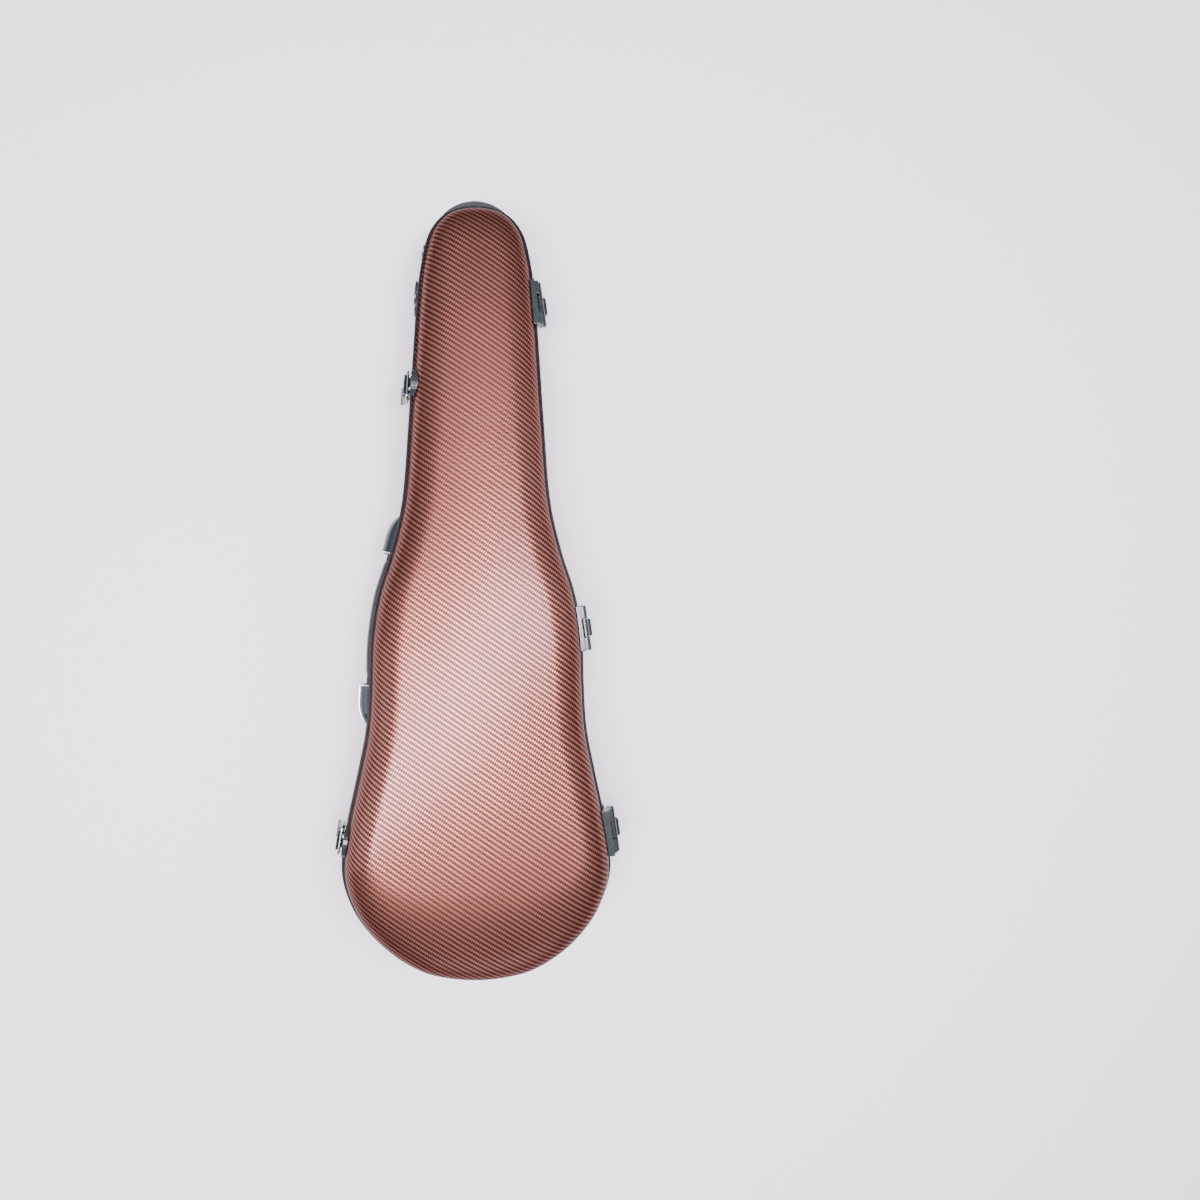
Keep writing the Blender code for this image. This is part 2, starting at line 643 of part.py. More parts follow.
# ---------------------------------------------------------------- strap anchors
def strap_anchor(place, frame, height):
    """An oval plate over a D-ring. Local x points to the ring and z out of the shell."""
    plate = slab(f"anchor_{place}_plate", frame, oval(ANCHOR_LENGTH, ANCHOR_WIDTH), -12, height)
    tunnel = cutter(block(f"anchor_{place}_tunnel", frame, (0.0, -12, 1.0), (4.6, 12, 4.9)))
    rivets = [
        rod(f"anchor_{place}_rivet_{i}", frame, (x, 0, height - 1), (x, 0, height + 0.7), 2.0, 12, 1.2)
        for i, x in enumerate((-7.0, 5.0))]
    finish(boolean(boolean(joined(plate, *rivets), BASE_ENVELOPE), tunnel), "black_metal")
    ahead, out = RING_BAR
    corner = [(ahead, 2.4 - RING_RADIUS), (ahead + 2.2, 0.5 - RING_RADIUS)]
    bend = arc((ahead + RING_RADIUS, 0), RING_RADIUS, -110, 110, 10)
    points = [(x, y, out) for x, y in [*corner, *bend, *((x, -y) for x, y in corner[::-1])]]
    ring = tube(f"anchor_{place}_ring", frame, points, RING_WIRE, True, 1)
    pivoted(finish(ring, "black_metal"), frame @ Vector((ahead, 0, out)))


def back_frame(y):
    """On the middle of the flat back: local x towards the bottom end and z out of the shell."""
    ahead = Vector((0, -1, -BASE_SLOPE)).normalized()
    across = Vector((-1, 0, 0))
    return axes_frame((0, y, -base_depth(y)), ahead, across, ahead.cross(across))


def corner_frame(index):
    """On the base's rounded corner: local x along the shell to the neck and z out of it."""
    before, here, after = base_corner(FINE, 0.0, 12)[CORNER_TURN - 1: CORNER_TURN + 2]
    along = Vector(here[index + 1]) - Vector(here[index - 1])
    down = Vector(after[index]) - Vector(before[index])
    out = along.cross(down).normalized()
    if out.z > 0:
        out = -out
    ahead = Vector((0, 1, 0))
    ahead = (ahead - out * ahead.dot(out)).normalized()
    return axes_frame(here[index], ahead, out.cross(ahead), out)


side_frame = wall_frame(-1, SIDE_ANCHOR_Y, -21.0) @ UPRIGHT @ Matrix.Diagonal((-1, 1, 1, 1))
strap_anchor("side", side_frame, 6.0)
strap_anchor("back", back_frame(BACK_ANCHOR_Y), 6.0)
station = int(np.argmin(np.abs(FINE[: len(FINE) // 2, 1] - CORNER_ANCHOR_Y)))
for place, index in (("corner_hinge_side", station), ("corner_handle_side", len(FINE) - station)):
    strap_anchor(place, corner_frame(index), 8.0)


# ---------------------------------------------------------------- end handle
def dome_strip(reach, near, far, rise, steps):
    """An outline in plan over the neck end. The strap lifts off the dome by rise at its middle."""
    stations = sorted((row for row in FINE if row[1] > NECK and abs(row[0]) <= reach), key=lambda row: row[0])
    rows = []
    for x, y, nx, ny in stations[:: max(1, len(stations) // steps)]:
        lift = rise * (1 - (x / reach) ** 2) ** 2
        rows.append([(x + nx * (d + lift), y + ny * (d + lift)) for d in (near, far)])
    return [row[0] for row in rows] + [row[1] for row in rows[::-1]]


END_HANDLE_Z = -20.5
END_FRAME = PLAN @ Matrix.Translation((0, 0, END_HANDLE_Z))
finish(slab("end_handle_strap", END_FRAME, dome_strip(49.5, 1.0, 3.8, 11, 20), -10, 10), "webbing")
for place, side in (("handle_side", -1), ("hinge_side", 1)):
    frame = wall_frame(side, 756, END_HANDLE_Z)
    plate = block(f"end_plate_{place}", frame, (-11.5, -8, -10.5), (11.5, 3.2, 10.5), 0.8)
    bars = [
        block(f"end_bar_{place}_{i}", frame, (u - 1.6, 1, -10.5), (u + 1.6, 5.0, 10.5), 0.7)
        for i, u in enumerate((-side * 8, -side * 0.5))]
    finish(boolean(joined(plate, *bars), BASE_ENVELOPE), "black_metal")


# ---------------------------------------------------------------- inside the base
LINING_GAP = SHELL + 1.2
VIOLIN_HALF = [                 # hollow for the body: (half width, distance from the bottom end)
    (0, 32), (55, 36), (98, 66), (108, 118), (92, 172), (68, 208), (62, 240), (70, 274), (86, 300), (90, 335),
    (76, 374), (44, 396), (0, 402)]
HOLLOW_FLOOR = -60.0
NECK_FLOOR = -46.0
NECK_HALF = 31.0
SCROLL_END = 648.0
CRADLE_Y = 520.0
POCKET = (662.0, 758.0, 38.0)   # from, to, half width
POCKET_FLOOR = -40.0

lining = lofted("base_lining", [
    level_ring(COARSE, -LINING_GAP, -3.2), *base_corner(COARSE, -LINING_GAP, 5)], True, True)
violin = cutter(slab("violin_hollow", PLAN, curve_through(mirrored(VIOLIN_HALF), 3), HOLLOW_FLOOR, 5))
channel_outline = [
    (NECK_HALF, 380), *arc((0, SCROLL_END - NECK_HALF), NECK_HALF, 0, 180, 10), (-NECK_HALF, 380)]
channel = cutter(slab("neck_hollow", PLAN, channel_outline, NECK_FLOOR, 5))
start, end, half = POCKET
pocket = cutter(block("pocket_hollow", PLAN, (-half, start, POCKET_FLOOR), (half, end, 5)))
for hollow in (violin, channel, pocket):
    boolean(lining, hollow)
finish(lining, "lining")
half = NECK_HALF - 0.4
cradle_outline = [(-half, 0), (half, 0), (half, 34), *arc((0, 36), 16, -7, -173, 8), (-half, 34)]
cradle_frame = PLAN @ Matrix.Translation((0, CRADLE_Y, NECK_FLOOR + GAP)) @ UPRIGHT
finish(slab("neck_cradle", cradle_frame, cradle_outline, -22, 22), "lining")
strap_frame = PLAN @ Matrix.Translation((0, CRADLE_Y, -8.6)) @ UPRIGHT
finish(slab("neck_strap", strap_frame, [(-29.5, 0), (29.5, 0), (27, 3.4), (-27, 3.4)], -15, 15), "webbing")

# ---------------------------------------------------------------- inside the lid
LID_LINING = 2.4
lid_lining = lofted("lid_lining", [
    level_ring(COARSE, -LINING_GAP, 3.6), level_ring(COARSE, -LINING_GAP, 7.0),
    *lid_corner(COARSE, -LINING_GAP, 4)], False, True, LID_CROWN, 4)
pivoted(finish(solidified(lid_lining, LID_LINING), "lining"), HINGE_POINT)
lid_room = -LINING_GAP - LID_LINING - 0.9
LID_INSIDE = cutter(lofted("lid_inside", [
    level_ring(FINE, lid_room, -40), *lid_corner(FINE, lid_room, 4)], True, True, LID_CROWN, 4))
SPINNER_Y = 175.0
SPINNER_Z = 24.0
for place, side in (("handle_side", -1), ("hinge_side", 1)):
    spot = PLAN @ Matrix.Translation((side * 44, SPINNER_Y, 0))
    mount = rod(f"bow_mount_{place}", spot, (0, 0, SPINNER_Z + 3.4), (0, 0, 52), 7.0)
    boolean(mount, LID_INSIDE, "INTERSECT")
    pivoted(finish(mount, "black_metal"), HINGE_POINT)
    wing = joined(
        slab(f"bow_spinner_{place}", spot, oval(46, 13), SPINNER_Z - 3, SPINNER_Z),
        rod(f"bow_spinner_hub_{place}", spot, (0, 0, SPINNER_Z - 1), (0, 0, SPINNER_Z + 3.1), 6.0))
    pivoted(finish(wing, "black_metal"), spot @ Vector((0, 0, SPINNER_Z)))
    loop_spot = PLAN @ Matrix.Translation((side * 24, 690, 0)) @ UPRIGHT
    strap = [(-11, 60), *arc((0, 18), 11, 180, 360, 8), (11, 60), (8.5, 60), *arc((0, 18), 8.5, 360, 180, 8),
             (-8.5, 60)]
    loop = joined(
        slab(f"bow_tip_loop_{place}", loop_spot, strap, -9, 9),
        slab(f"bow_tip_pad_{place}", loop_spot, [(-12, 22), (12, 22), (12, 60), (-12, 60)], -10, 10))
    boolean(loop, LID_INSIDE, "INTERSECT")
    pivoted(finish(loop, "webbing"), HINGE_POINT)

# ---------------------------------------------------------------- feet, and the case set on them
radius, outer, height = END_FOOT
foot = rod("end_foot", PLAN, (0, 6, height), (0, outer, height), radius, 24, 8.0)
finish(boolean(foot, BASE_ENVELOPE), "rubber")


def reach(names):
    """The lowest and highest world corners of the named pieces, as the viewport shows them."""
    graph = bpy.context.evaluated_depsgraph_get()
    corners = []
    for name in names:
        piece = bpy.data.objects[name].evaluated_get(graph)
        mesh = piece.to_mesh()
        corners += [piece.matrix_world @ vertex.co for vertex in mesh.vertices]
        piece.to_mesh_clear()
    corners = np.array(corners)
    return corners.min(axis=0), corners.max(axis=0)


bpy.context.view_layer.update()
ground = reach(["anchor_corner_handle_side_plate"])[0][2]
spot = ROOT.matrix_world @ back_frame(NECK_FOOT_Y).translation
upright = Matrix.Translation((spot.x, spot.y, ground))
upright = ROOT.matrix_world.inverted() @ upright @ Matrix.Scale(MM, 4)
foot = rod("neck_foot", upright, (0, 0, 0), (0, 0, 14), NECK_FOOT_RADIUS, 24, NECK_FOOT_RADIUS + 1)
seat = cutter(block("neck_foot_seat", back_frame(NECK_FOOT_Y), (-20, -20, -20), (20, 20, GAP)))
finish(boolean(foot, seat), "rubber")

for name in ("lid_shell", "lid_rim"):
    pivoted(bpy.data.objects[name], HINGE_POINT)
bpy.context.view_layer.update()
low, high = reach([piece.name for piece in CASE.objects if piece.type == "MESH"])
ROOT.location = (-(low[0] + high[0]) / 2, -(low[1] + high[1]) / 2, -low[2])
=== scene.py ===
"""Looks of the shaped hard violin case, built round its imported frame.

Lengths are millimetres in the case frame: z = 0 is the parting plane between base and lid, y is the
distance from the bottom end, the handle and latches are at -x and the hinges at +x. CASE turns them into
the row frame's metres.
"""

import json
import math

import bmesh
import bpy
import numpy as np
from mathutils import Matrix, Vector


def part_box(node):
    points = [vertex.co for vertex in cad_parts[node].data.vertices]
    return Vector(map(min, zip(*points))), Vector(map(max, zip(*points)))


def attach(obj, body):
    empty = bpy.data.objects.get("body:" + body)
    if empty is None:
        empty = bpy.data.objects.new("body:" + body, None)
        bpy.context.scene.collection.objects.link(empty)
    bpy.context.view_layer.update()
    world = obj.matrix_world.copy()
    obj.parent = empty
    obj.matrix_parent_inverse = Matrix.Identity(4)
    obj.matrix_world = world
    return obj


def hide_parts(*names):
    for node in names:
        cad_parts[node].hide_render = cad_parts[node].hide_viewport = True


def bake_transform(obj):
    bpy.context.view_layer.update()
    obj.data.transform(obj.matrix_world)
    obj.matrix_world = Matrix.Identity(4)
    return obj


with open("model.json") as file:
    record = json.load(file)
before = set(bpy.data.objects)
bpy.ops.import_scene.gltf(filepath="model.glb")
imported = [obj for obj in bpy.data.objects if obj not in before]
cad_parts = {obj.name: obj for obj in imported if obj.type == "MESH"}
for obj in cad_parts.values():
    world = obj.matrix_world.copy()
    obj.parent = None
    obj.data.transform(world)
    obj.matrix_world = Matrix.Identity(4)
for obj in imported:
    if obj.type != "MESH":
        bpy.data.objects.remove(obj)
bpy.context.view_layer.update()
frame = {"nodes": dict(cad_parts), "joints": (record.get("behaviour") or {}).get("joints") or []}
NODES = frame["nodes"]
JOINTS = {joint["name"]: joint for joint in frame["joints"]}
MM = 0.001

# ---------------------------------------------------------------- sizes shared with the CAD model
LENGTH = 800.0
HALF_OUTLINE = [                # (half width, distance from the bottom end)
    (0, 0), (30, 2.5), (57, 9.5), (92, 31), (121, 64), (135.5, 100), (136.6, 125), (130, 167),
    (120.5, 212), (112.5, 255), (109.8, 300), (108.5, 345), (101.5, 392), (87.5, 437), (76, 487),
    (69, 570), (64.5, 640), (60.5, 697), (56, 738), (46, 775), (28, 794), (0, 800)]
BOUT, NECK = 120.0, 700.0
BASE_DEPTH, BASE_SLOPE, BASE_ROUND, BASE_SIDE_INSET = 88.0, 19.0 / (NECK - BOUT), 0.455, 38.0
BASE_END_INSET = {"bottom": (117.0, 250.0), "neck": (85.0, 190.0)}
LID_HEIGHT, LID_SLOPE, LID_ROUND, LID_SIDE_INSET = 48.0, 18.0 / (NECK - BOUT), 0.56, 34.0
LID_END_INSET = {"bottom": (95.0, 210.0), "neck": (45.0, 110.0)}
LID_CROWN, LID_DRAFT = 6.0, 3.0
CROWN_RUNS = (185.0, 135.0)     # the crown rises over this much of the bottom end and of the neck end
SHELL = 3.0
LINING_GAP = SHELL + 1.2
BAND_HALF, BAND_PROUD = 6.8, 2.3
TILT = math.radians(-1.40)
HINGE_AXIS = ((143.0, 149.0), (67.8, 700.0))
HINGE_PLACES = {"lower": 149.0, "middle": 359.0, "upper": 700.0}
LATCH_PLACES = {"lower": 141.0, "upper": 612.0}
BAIL_PIVOT, BAIL_BAR = (6.3, -19.0), (5.8, 8.0)     # (out of the wall, up)
BAIL_HALF, BAIL_WIRE = 14.0, 1.25
LEVER_OUTSIDE = 10.6
HANDLE_CAPS, HANDLE_Z = {"lower": 279.0, "upper": 456.0}, -24.0
CAP_LENGTH, CAP_HALF, CAP_HIGH = 40.0, 15.0, 13.0
GRIP_ENDS = (309.0, 430.0)
RING_RADIUS, RING_WIRE, RING_BAR = 10.9, 1.6, (2.3, 3.0)
END_HANDLE_Z = -20.5


def case_matrix():
    """Case millimetres to the row frame, set by the lid hinge, whose middle point is known in both."""
    (x0, y0), (x1, y1) = HINGE_AXIS
    part = (HINGE_PLACES["middle"] - y0) / (y1 - y0)
    point = Vector((x0 + (x1 - x0) * part, HINGE_PLACES["middle"], 0.0))
    turn = Matrix.Rotation(TILT, 4, "X") @ Matrix.Scale(MM, 4)
    return Matrix.Translation(Vector(JOINTS["lid_hinge"]["pos_m"]) - turn @ point) @ turn


CASE = case_matrix()


# ---------------------------------------------------------------- the case's outline and corners
def curve_through(points, steps):
    """A closed centripetal Catmull-Rom curve, with this many steps for each span."""
    points = np.asarray(points, float)
    p0, p1, p2, p3 = (np.roll(points, shift, axis=0) for shift in (1, 0, -1, -2))
    a, b, c = (np.sqrt(np.linalg.norm(q - p, axis=1))[:, None] for p, q in ((p0, p1), (p1, p2), (p2, p3)))
    leave = b * ((p1 - p0) / a - (p2 - p0) / (a + b) + (p2 - p1) / b)
    arrive = b * ((p2 - p1) / b - (p3 - p1) / (b + c) + (p3 - p2) / c)
    rows = []
    for t in np.linspace(0, 1, steps, endpoint=False):
        rows.append((2 * t**3 - 3 * t**2 + 1) * p1 + (t**3 - 2 * t**2 + t) * leave
                    + (3 * t**2 - 2 * t**3) * p2 + (t**3 - t**2) * arrive)
    return np.stack(rows, axis=1).reshape(-1, points.shape[1])


DENSE = curve_through([*HALF_OUTLINE, *((-x, y) for x, y in HALF_OUTLINE[-2:0:-1])], steps=24)
RIGHT = DENSE[: len(DENSE) // 2 + 1]


def half_width(y):
    return float(np.interp(y, RIGHT[:, 1], RIGHT[:, 0]))


STRAIGHT_SHARE = 0.12           # how much a straight stretch counts beside a bend
HEADING_WINDOW = 9


def outline(count):
    """The closed outline as rows of x, y, nx, ny, with more stations where it bends."""
    step = np.diff(RIGHT, axis=0)
    length = np.linalg.norm(step, axis=1)
    angle = np.unwrap(np.arctan2(step[:, 1], step[:, 0]))
    bend = np.abs(np.diff(angle, append=angle[-1]))
    measure = np.concatenate([[0], np.cumsum(np.sqrt(bend * length + (STRAIGHT_SHARE * length) ** 2))])
    places = np.linspace(0, measure[-1], count)
    x, y = (np.interp(places, measure, RIGHT[:, k]) for k in (0, 1))
    kernel = np.ones(HEADING_WINDOW) / HEADING_WINDOW
    angle = np.pad(angle, HEADING_WINDOW // 2, mode="reflect", reflect_type="odd")
    angle = np.convolve(angle, kernel, mode="valid")
    heading = np.interp(places, (measure[1:] + measure[:-1]) / 2, angle)
    heading[0], heading[-1] = 0.0, math.pi
    half = np.stack([x, y, np.sin(heading), -np.cos(heading)], axis=1)
    return np.concatenate([half, half[-2:0:-1] * (-1, 1, -1, 1)])


FINE = outline(170)


def base_depth(y):
    return BASE_DEPTH - BASE_SLOPE * (y - BOUT)


def lid_height(y):
    return LID_HEIGHT - LID_SLOPE * (y - BOUT)


def corner_rings(offset, steps, side_inset, end_inset, height, part, draft):
    """Rings from the top of the wall round the corner to the flat, with height counted outward."""
    x, y, normal = FINE[:, 0], FINE[:, 1], FINE[:, 2:]
    reference = np.array([half_width(d) for d in np.clip(y, BOUT, NECK)])
    amount, run = end_inset["bottom"]
    drawn = y + amount * np.clip(1 - y / run, 0, 1) ** 2
    amount, run = end_inset["neck"]
    drawn = drawn - amount * np.clip(1 - (LENGTH - y) / run, 0, 1) ** 2
    inner = np.stack([x * (1 - side_inset / reference), drawn], axis=1)
    start = FINE[:, :2] + normal * (offset - draft)
    tall = part * height(y)
    rings = []
    for t in np.linspace(0, math.pi / 2, steps + 1):
        plan = start + (inner - start) * (1 - math.cos(t))
        rise = height(plan[:, 1]) - tall + (tall + offset) * math.sin(t)
        rings.append(np.column_stack([plan, rise]))
    return rings


def base_corner(offset, steps):
    rings = corner_rings(offset, steps, BASE_SIDE_INSET, BASE_END_INSET, base_depth, BASE_ROUND, 0)
    return [ring * (1, 1, -1) for ring in rings]


def lid_corner(offset, steps):
    return corner_rings(offset, steps, LID_SIDE_INSET, LID_END_INSET, lid_height, LID_ROUND, LID_DRAFT)


def level_ring(offset, z):
    return np.column_stack([FINE[:, :2] + FINE[:, 2:] * offset, np.full(len(FINE), z)])


# ---------------------------------------------------------------- making pieces
def as_piece(name, mesh):
    piece = bpy.data.objects.new(name, mesh)
    bpy.context.scene.collection.objects.link(piece)
    return piece


def from_bmesh(name, bm, place=None, angle=35.0):
    """A piece from a mesh in local millimetres, whose place is a matrix into the case frame."""
    bmesh.ops.transform(bm, matrix=CASE @ (place or Matrix()), verts=bm.verts)
    bmesh.ops.recalc_face_normals(bm, faces=bm.faces)
    mesh = bpy.data.meshes.new(name)
    bm.to_mesh(mesh)
    bm.free()
    mesh.shade_smooth()
    mesh.set_sharp_from_angle(angle=math.radians(angle))
    return as_piece(name, mesh)


def applied(piece):
    """The piece with its modifiers made part of its mesh."""
    graph = bpy.context.evaluated_depsgraph_get()
    mesh = bpy.data.meshes.new_from_object(piece.evaluated_get(graph))
    piece.modifiers.clear()
    piece.data = mesh
    return piece


def dressed(piece, look, body, stands_for=()):
    """Give a piece its material and its body, and hide the CAD parts that it stands for."""
    piece.data.materials.clear()
    piece.data.materials.append(look)
    if body:
        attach(piece, body)
    if stands_for:
        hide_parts(*stands_for)
    return piece


def grid_faces(bm, rows, closed):
    for low, high in zip(rows, rows[1:]):
        count = len(low)
        for i in range(count if closed else count - 1):
            j = (i + 1) % count
            bm.faces.new((low[i], low[j], high[j], high[i]))


def swept(name, rows, sections, angle=35.0):
    """A closed band along rows of (place, across, out); each section lists its (across, out) points."""
    bm = bmesh.new()
    flow = bm.loops.layers.uv.new("flow")
    rings = []
    along = 0.0
    measure = []
    for k, ((place, across, out), section) in enumerate(zip(rows, sections)):
        if k:
            along += (place - rows[k - 1][0]).length
        measure.append(along)
        rings.append([bm.verts.new(place + across * a + out * o) for a, o in section])
    grid_faces(bm, rings, True)
    bm.faces.new(rings[0][::-1])
    bm.faces.new(rings[-1])
    index = {vertex: (k, i) for k, ring in enumerate(rings) for i, vertex in enumerate(ring)}
    for face in bm.faces:
        for loop in face.loops:
            k, i = index[loop.vert]
            loop[flow].uv = (sections[k][i][0] * MM, measure[k] * MM)
    return from_bmesh(name, bm, angle=angle)


def turned(name, place, profile, segments=48, angle=35.0):
    """A solid of revolution round the place's local z, from (radius, height) points."""
    bm = bmesh.new()
    rings = []
    for radius, height in profile:
        if radius == 0:
            rings.append([bm.verts.new((0, 0, height))])
            continue
        rings.append([
            bm.verts.new((radius * math.cos(a), radius * math.sin(a), height))
            for a in np.linspace(0, 2 * math.pi, segments, endpoint=False)])
    for low, high in zip(rings, rings[1:]):
        for i in range(segments):
            j = (i + 1) % segments
            corners = [low[i % len(low)], low[j % len(low)], high[j % len(high)], high[i % len(high)]]
            bm.faces.new(list(dict.fromkeys(corners)))
    return from_bmesh(name, bm, place, angle)


def wire(name, place, points, radius, closed=False):
    """A round wire through local points, as a mesh."""
    curve = bpy.data.curves.new(name, "CURVE")
    curve.dimensions = "3D"
    curve.bevel_depth = radius
    curve.bevel_resolution = 5
    curve.use_fill_caps = not closed
    spline = curve.splines.new("POLY")
    spline.points.add(len(points) - 1)
    for point, spot in zip(spline.points, points):
        point.co = (*spot, 1)
    spline.use_cyclic_u = closed
    guide = as_piece(name + "_guide", curve)
    graph = bpy.context.evaluated_depsgraph_get()
    mesh = bpy.data.meshes.new_from_object(guide.evaluated_get(graph))
    bpy.data.objects.remove(guide)
    bm = bmesh.new()
    bm.from_mesh(mesh)
    bmesh.ops.remove_doubles(bm, verts=bm.verts, dist=0.001)
    return from_bmesh(name, bm, place, 60)


def softened(node, name, look, body, voxel=0.32, rounds=3):
    """A copy of a CAD piece with its edges rounded off, standing for it."""
    bm = bmesh.new()
    bm.from_mesh(NODES[node].data)
    bmesh.ops.remove_doubles(bm, verts=bm.verts, dist=1e-6)
    mesh = bpy.data.meshes.new(name)
    bm.to_mesh(mesh)
    bm.free()
    piece = as_piece(name, mesh)
    remesh = piece.modifiers.new("skin", "REMESH")
    remesh.mode = "VOXEL"
    remesh.voxel_size = voxel * MM
    rounding = piece.modifiers.new("rounding", "SMOOTH")
    rounding.factor = 0.5
    rounding.iterations = rounds
    applied(piece).data.shade_smooth()
    return dressed(piece, look, body, (node,))


def smooth_path(points, steps):
    """Points on an open centripetal Catmull-Rom curve through these."""
    points = np.asarray(points, float)
    padded = np.concatenate([[2 * points[0] - points[1]], points, [2 * points[-1] - points[-2]]])
    made = []
    for p0, p1, p2, p3 in zip(padded, padded[1:], padded[2:], padded[3:]):
        for t in np.linspace(0, 1, steps, endpoint=False):
            made.append(0.5 * (2 * p1 + (p2 - p0) * t + (2 * p0 - 5 * p1 + 4 * p2 - p3) * t**2
                               + (3 * p1 - p0 - 3 * p2 + p3) * t**3))
    return [*made, points[-1]]


def rounded_bar(half, low, high, radius, steps=5):
    """A rounded rectangle as (across, out) points, half wide each way and from low to high."""
    radius = min(radius, half, (high - low) / 2)
    points = []
    for centre, start in (((half - radius, high - radius), 0), ((radius - half, high - radius), 90),
                          ((radius - half, low + radius), 180), ((half - radius, low + radius), 270)):
        for a in np.linspace(start, start + 90, steps + 1):
            points.append((centre[0] + radius * math.cos(math.radians(a)),
                           centre[1] + radius * math.sin(math.radians(a))))
    return points


def axes_frame(origin, u, v, w):
    return Matrix.Translation(Vector(origin)) @ Matrix((u, v, w)).transposed().to_4x4()


def wall_frame(side, y, z=0.0):
    """On the outer wall: u along the case, v out of the wall, w up. side is +1 or -1 in x."""
    ahead = half_width(y + 1) - half_width(y - 1)
    along = Vector((side * ahead, 2.0, 0.0)).normalized()
    up = Vector((0, 0, 1))
    if side > 0:
        along = -along
    return axes_frame((side * half_width(y), y, z), along, up.cross(along), up)


OUT_IS_Z = Matrix(((1, 0, 0, 0), (0, 0, 1, 0), (0, 1, 0, 0), (0, 0, 0, 1)))


# ---------------------------------------------------------------- materials
class Paint:
    """A material whose pattern is built from procedural nodes."""

    def __init__(self, name, colour, roughness, **settings):
        self.material = bpy.data.materials.new(name)
        self.material.use_nodes = True
        self.tree = self.material.node_tree
        self.shader = self.tree.nodes["Principled BSDF"]
        self.shader.inputs["Base Color"].default_value = (*colour, 1.0)
        self.shader.inputs["Roughness"].default_value = roughness
        for socket, value in settings.items():
            self.shader.inputs[socket.replace("_", " ")].default_value = value

    def node(self, kind, fields=(), **inputs):
        made = self.tree.nodes.new("ShaderNode" + kind)
        for field, value in dict(fields).items():
            setattr(made, field, value)
        for name, value in inputs.items():
            self.feed(made.inputs[name.replace("_", " ")], value)
        return made

    def feed(self, socket, value):
        if isinstance(value, bpy.types.NodeSocket):
            self.tree.links.new(value, socket)
        else:
            socket.default_value = value

    def math(self, operation, *values):
        made = self.node("Math", {"operation": operation})
        for socket, value in zip(made.inputs, values):
            self.feed(socket, value)
        return made.outputs[0]

    def ramp(self, factor, *stops):
        """A colour ramp through (place, colour) stops."""
        made = self.node("ValToRGB")
        elements = made.color_ramp.elements
        while len(elements) < len(stops):
            elements.new(0.5)
        for element, (place, colour) in zip(elements, stops):
            element.position = place
            element.color = (*colour, 1.0)
        self.feed(made.inputs["Fac"], factor)
        return made.outputs["Color"]

    def mix(self, factor, first, second, blend="MIX"):
        made = self.node("Mix", {"data_type": "RGBA", "blend_type": blend})
        self.feed(made.inputs[0], factor)
        for socket, value in ((made.inputs[6], first), (made.inputs[7], second)):
            self.feed(socket, value if isinstance(value, bpy.types.NodeSocket) else (*value, 1.0))
        return made.outputs[2]

    def place(self, scale=1.0):
        """Position on the piece at rest, in millimetres times scale."""
        coordinates = self.node("TexCoord").outputs["Object"]
        return self.scaled(coordinates, scale / MM)

    def scaled(self, vector, scale):
        made = self.node("VectorMath", {"operation": "SCALE"})
        self.feed(made.inputs[0], vector)
        made.inputs["Scale"].default_value = scale
        return made.outputs[0]

    def flow(self, name):
        """The two millimetre coordinates that a piece carries along its surface."""
        layer = self.node("UVMap", {"uv_map": name}).outputs["UV"]
        parts = self.node("SeparateXYZ", Vector=self.scaled(layer, 1 / MM))
        return parts.outputs["X"], parts.outputs["Y"]

    def noise(self, vector, scale, detail=3.0):
        return self.node("TexNoise", Vector=vector, Scale=scale, Detail=detail).outputs["Fac"]

    def cells(self, vector, scale, feature="F1"):
        made = self.node("TexVoronoi", {"feature": feature}, Vector=vector, Scale=scale)
        return made.outputs["Distance"]

    def colour(self, value):
        self.feed(self.shader.inputs["Base Color"], value)

    def roughness(self, factor, low, high):
        spread = self.node("MapRange", Value=factor, To_Min=low, To_Max=high)
        self.feed(self.shader.inputs["Roughness"], spread.outputs["Result"])

    def bump(self, height, distance, strength=1.0):
        made = self.node("Bump", Height=height, Distance=distance * MM, Strength=strength)
        self.feed(self.shader.inputs["Normal"], made.outputs["Normal"])


TOW_ACROSS, TOW_ALONG = 2.1, 1.4        # pitch of the shell's two by two twill


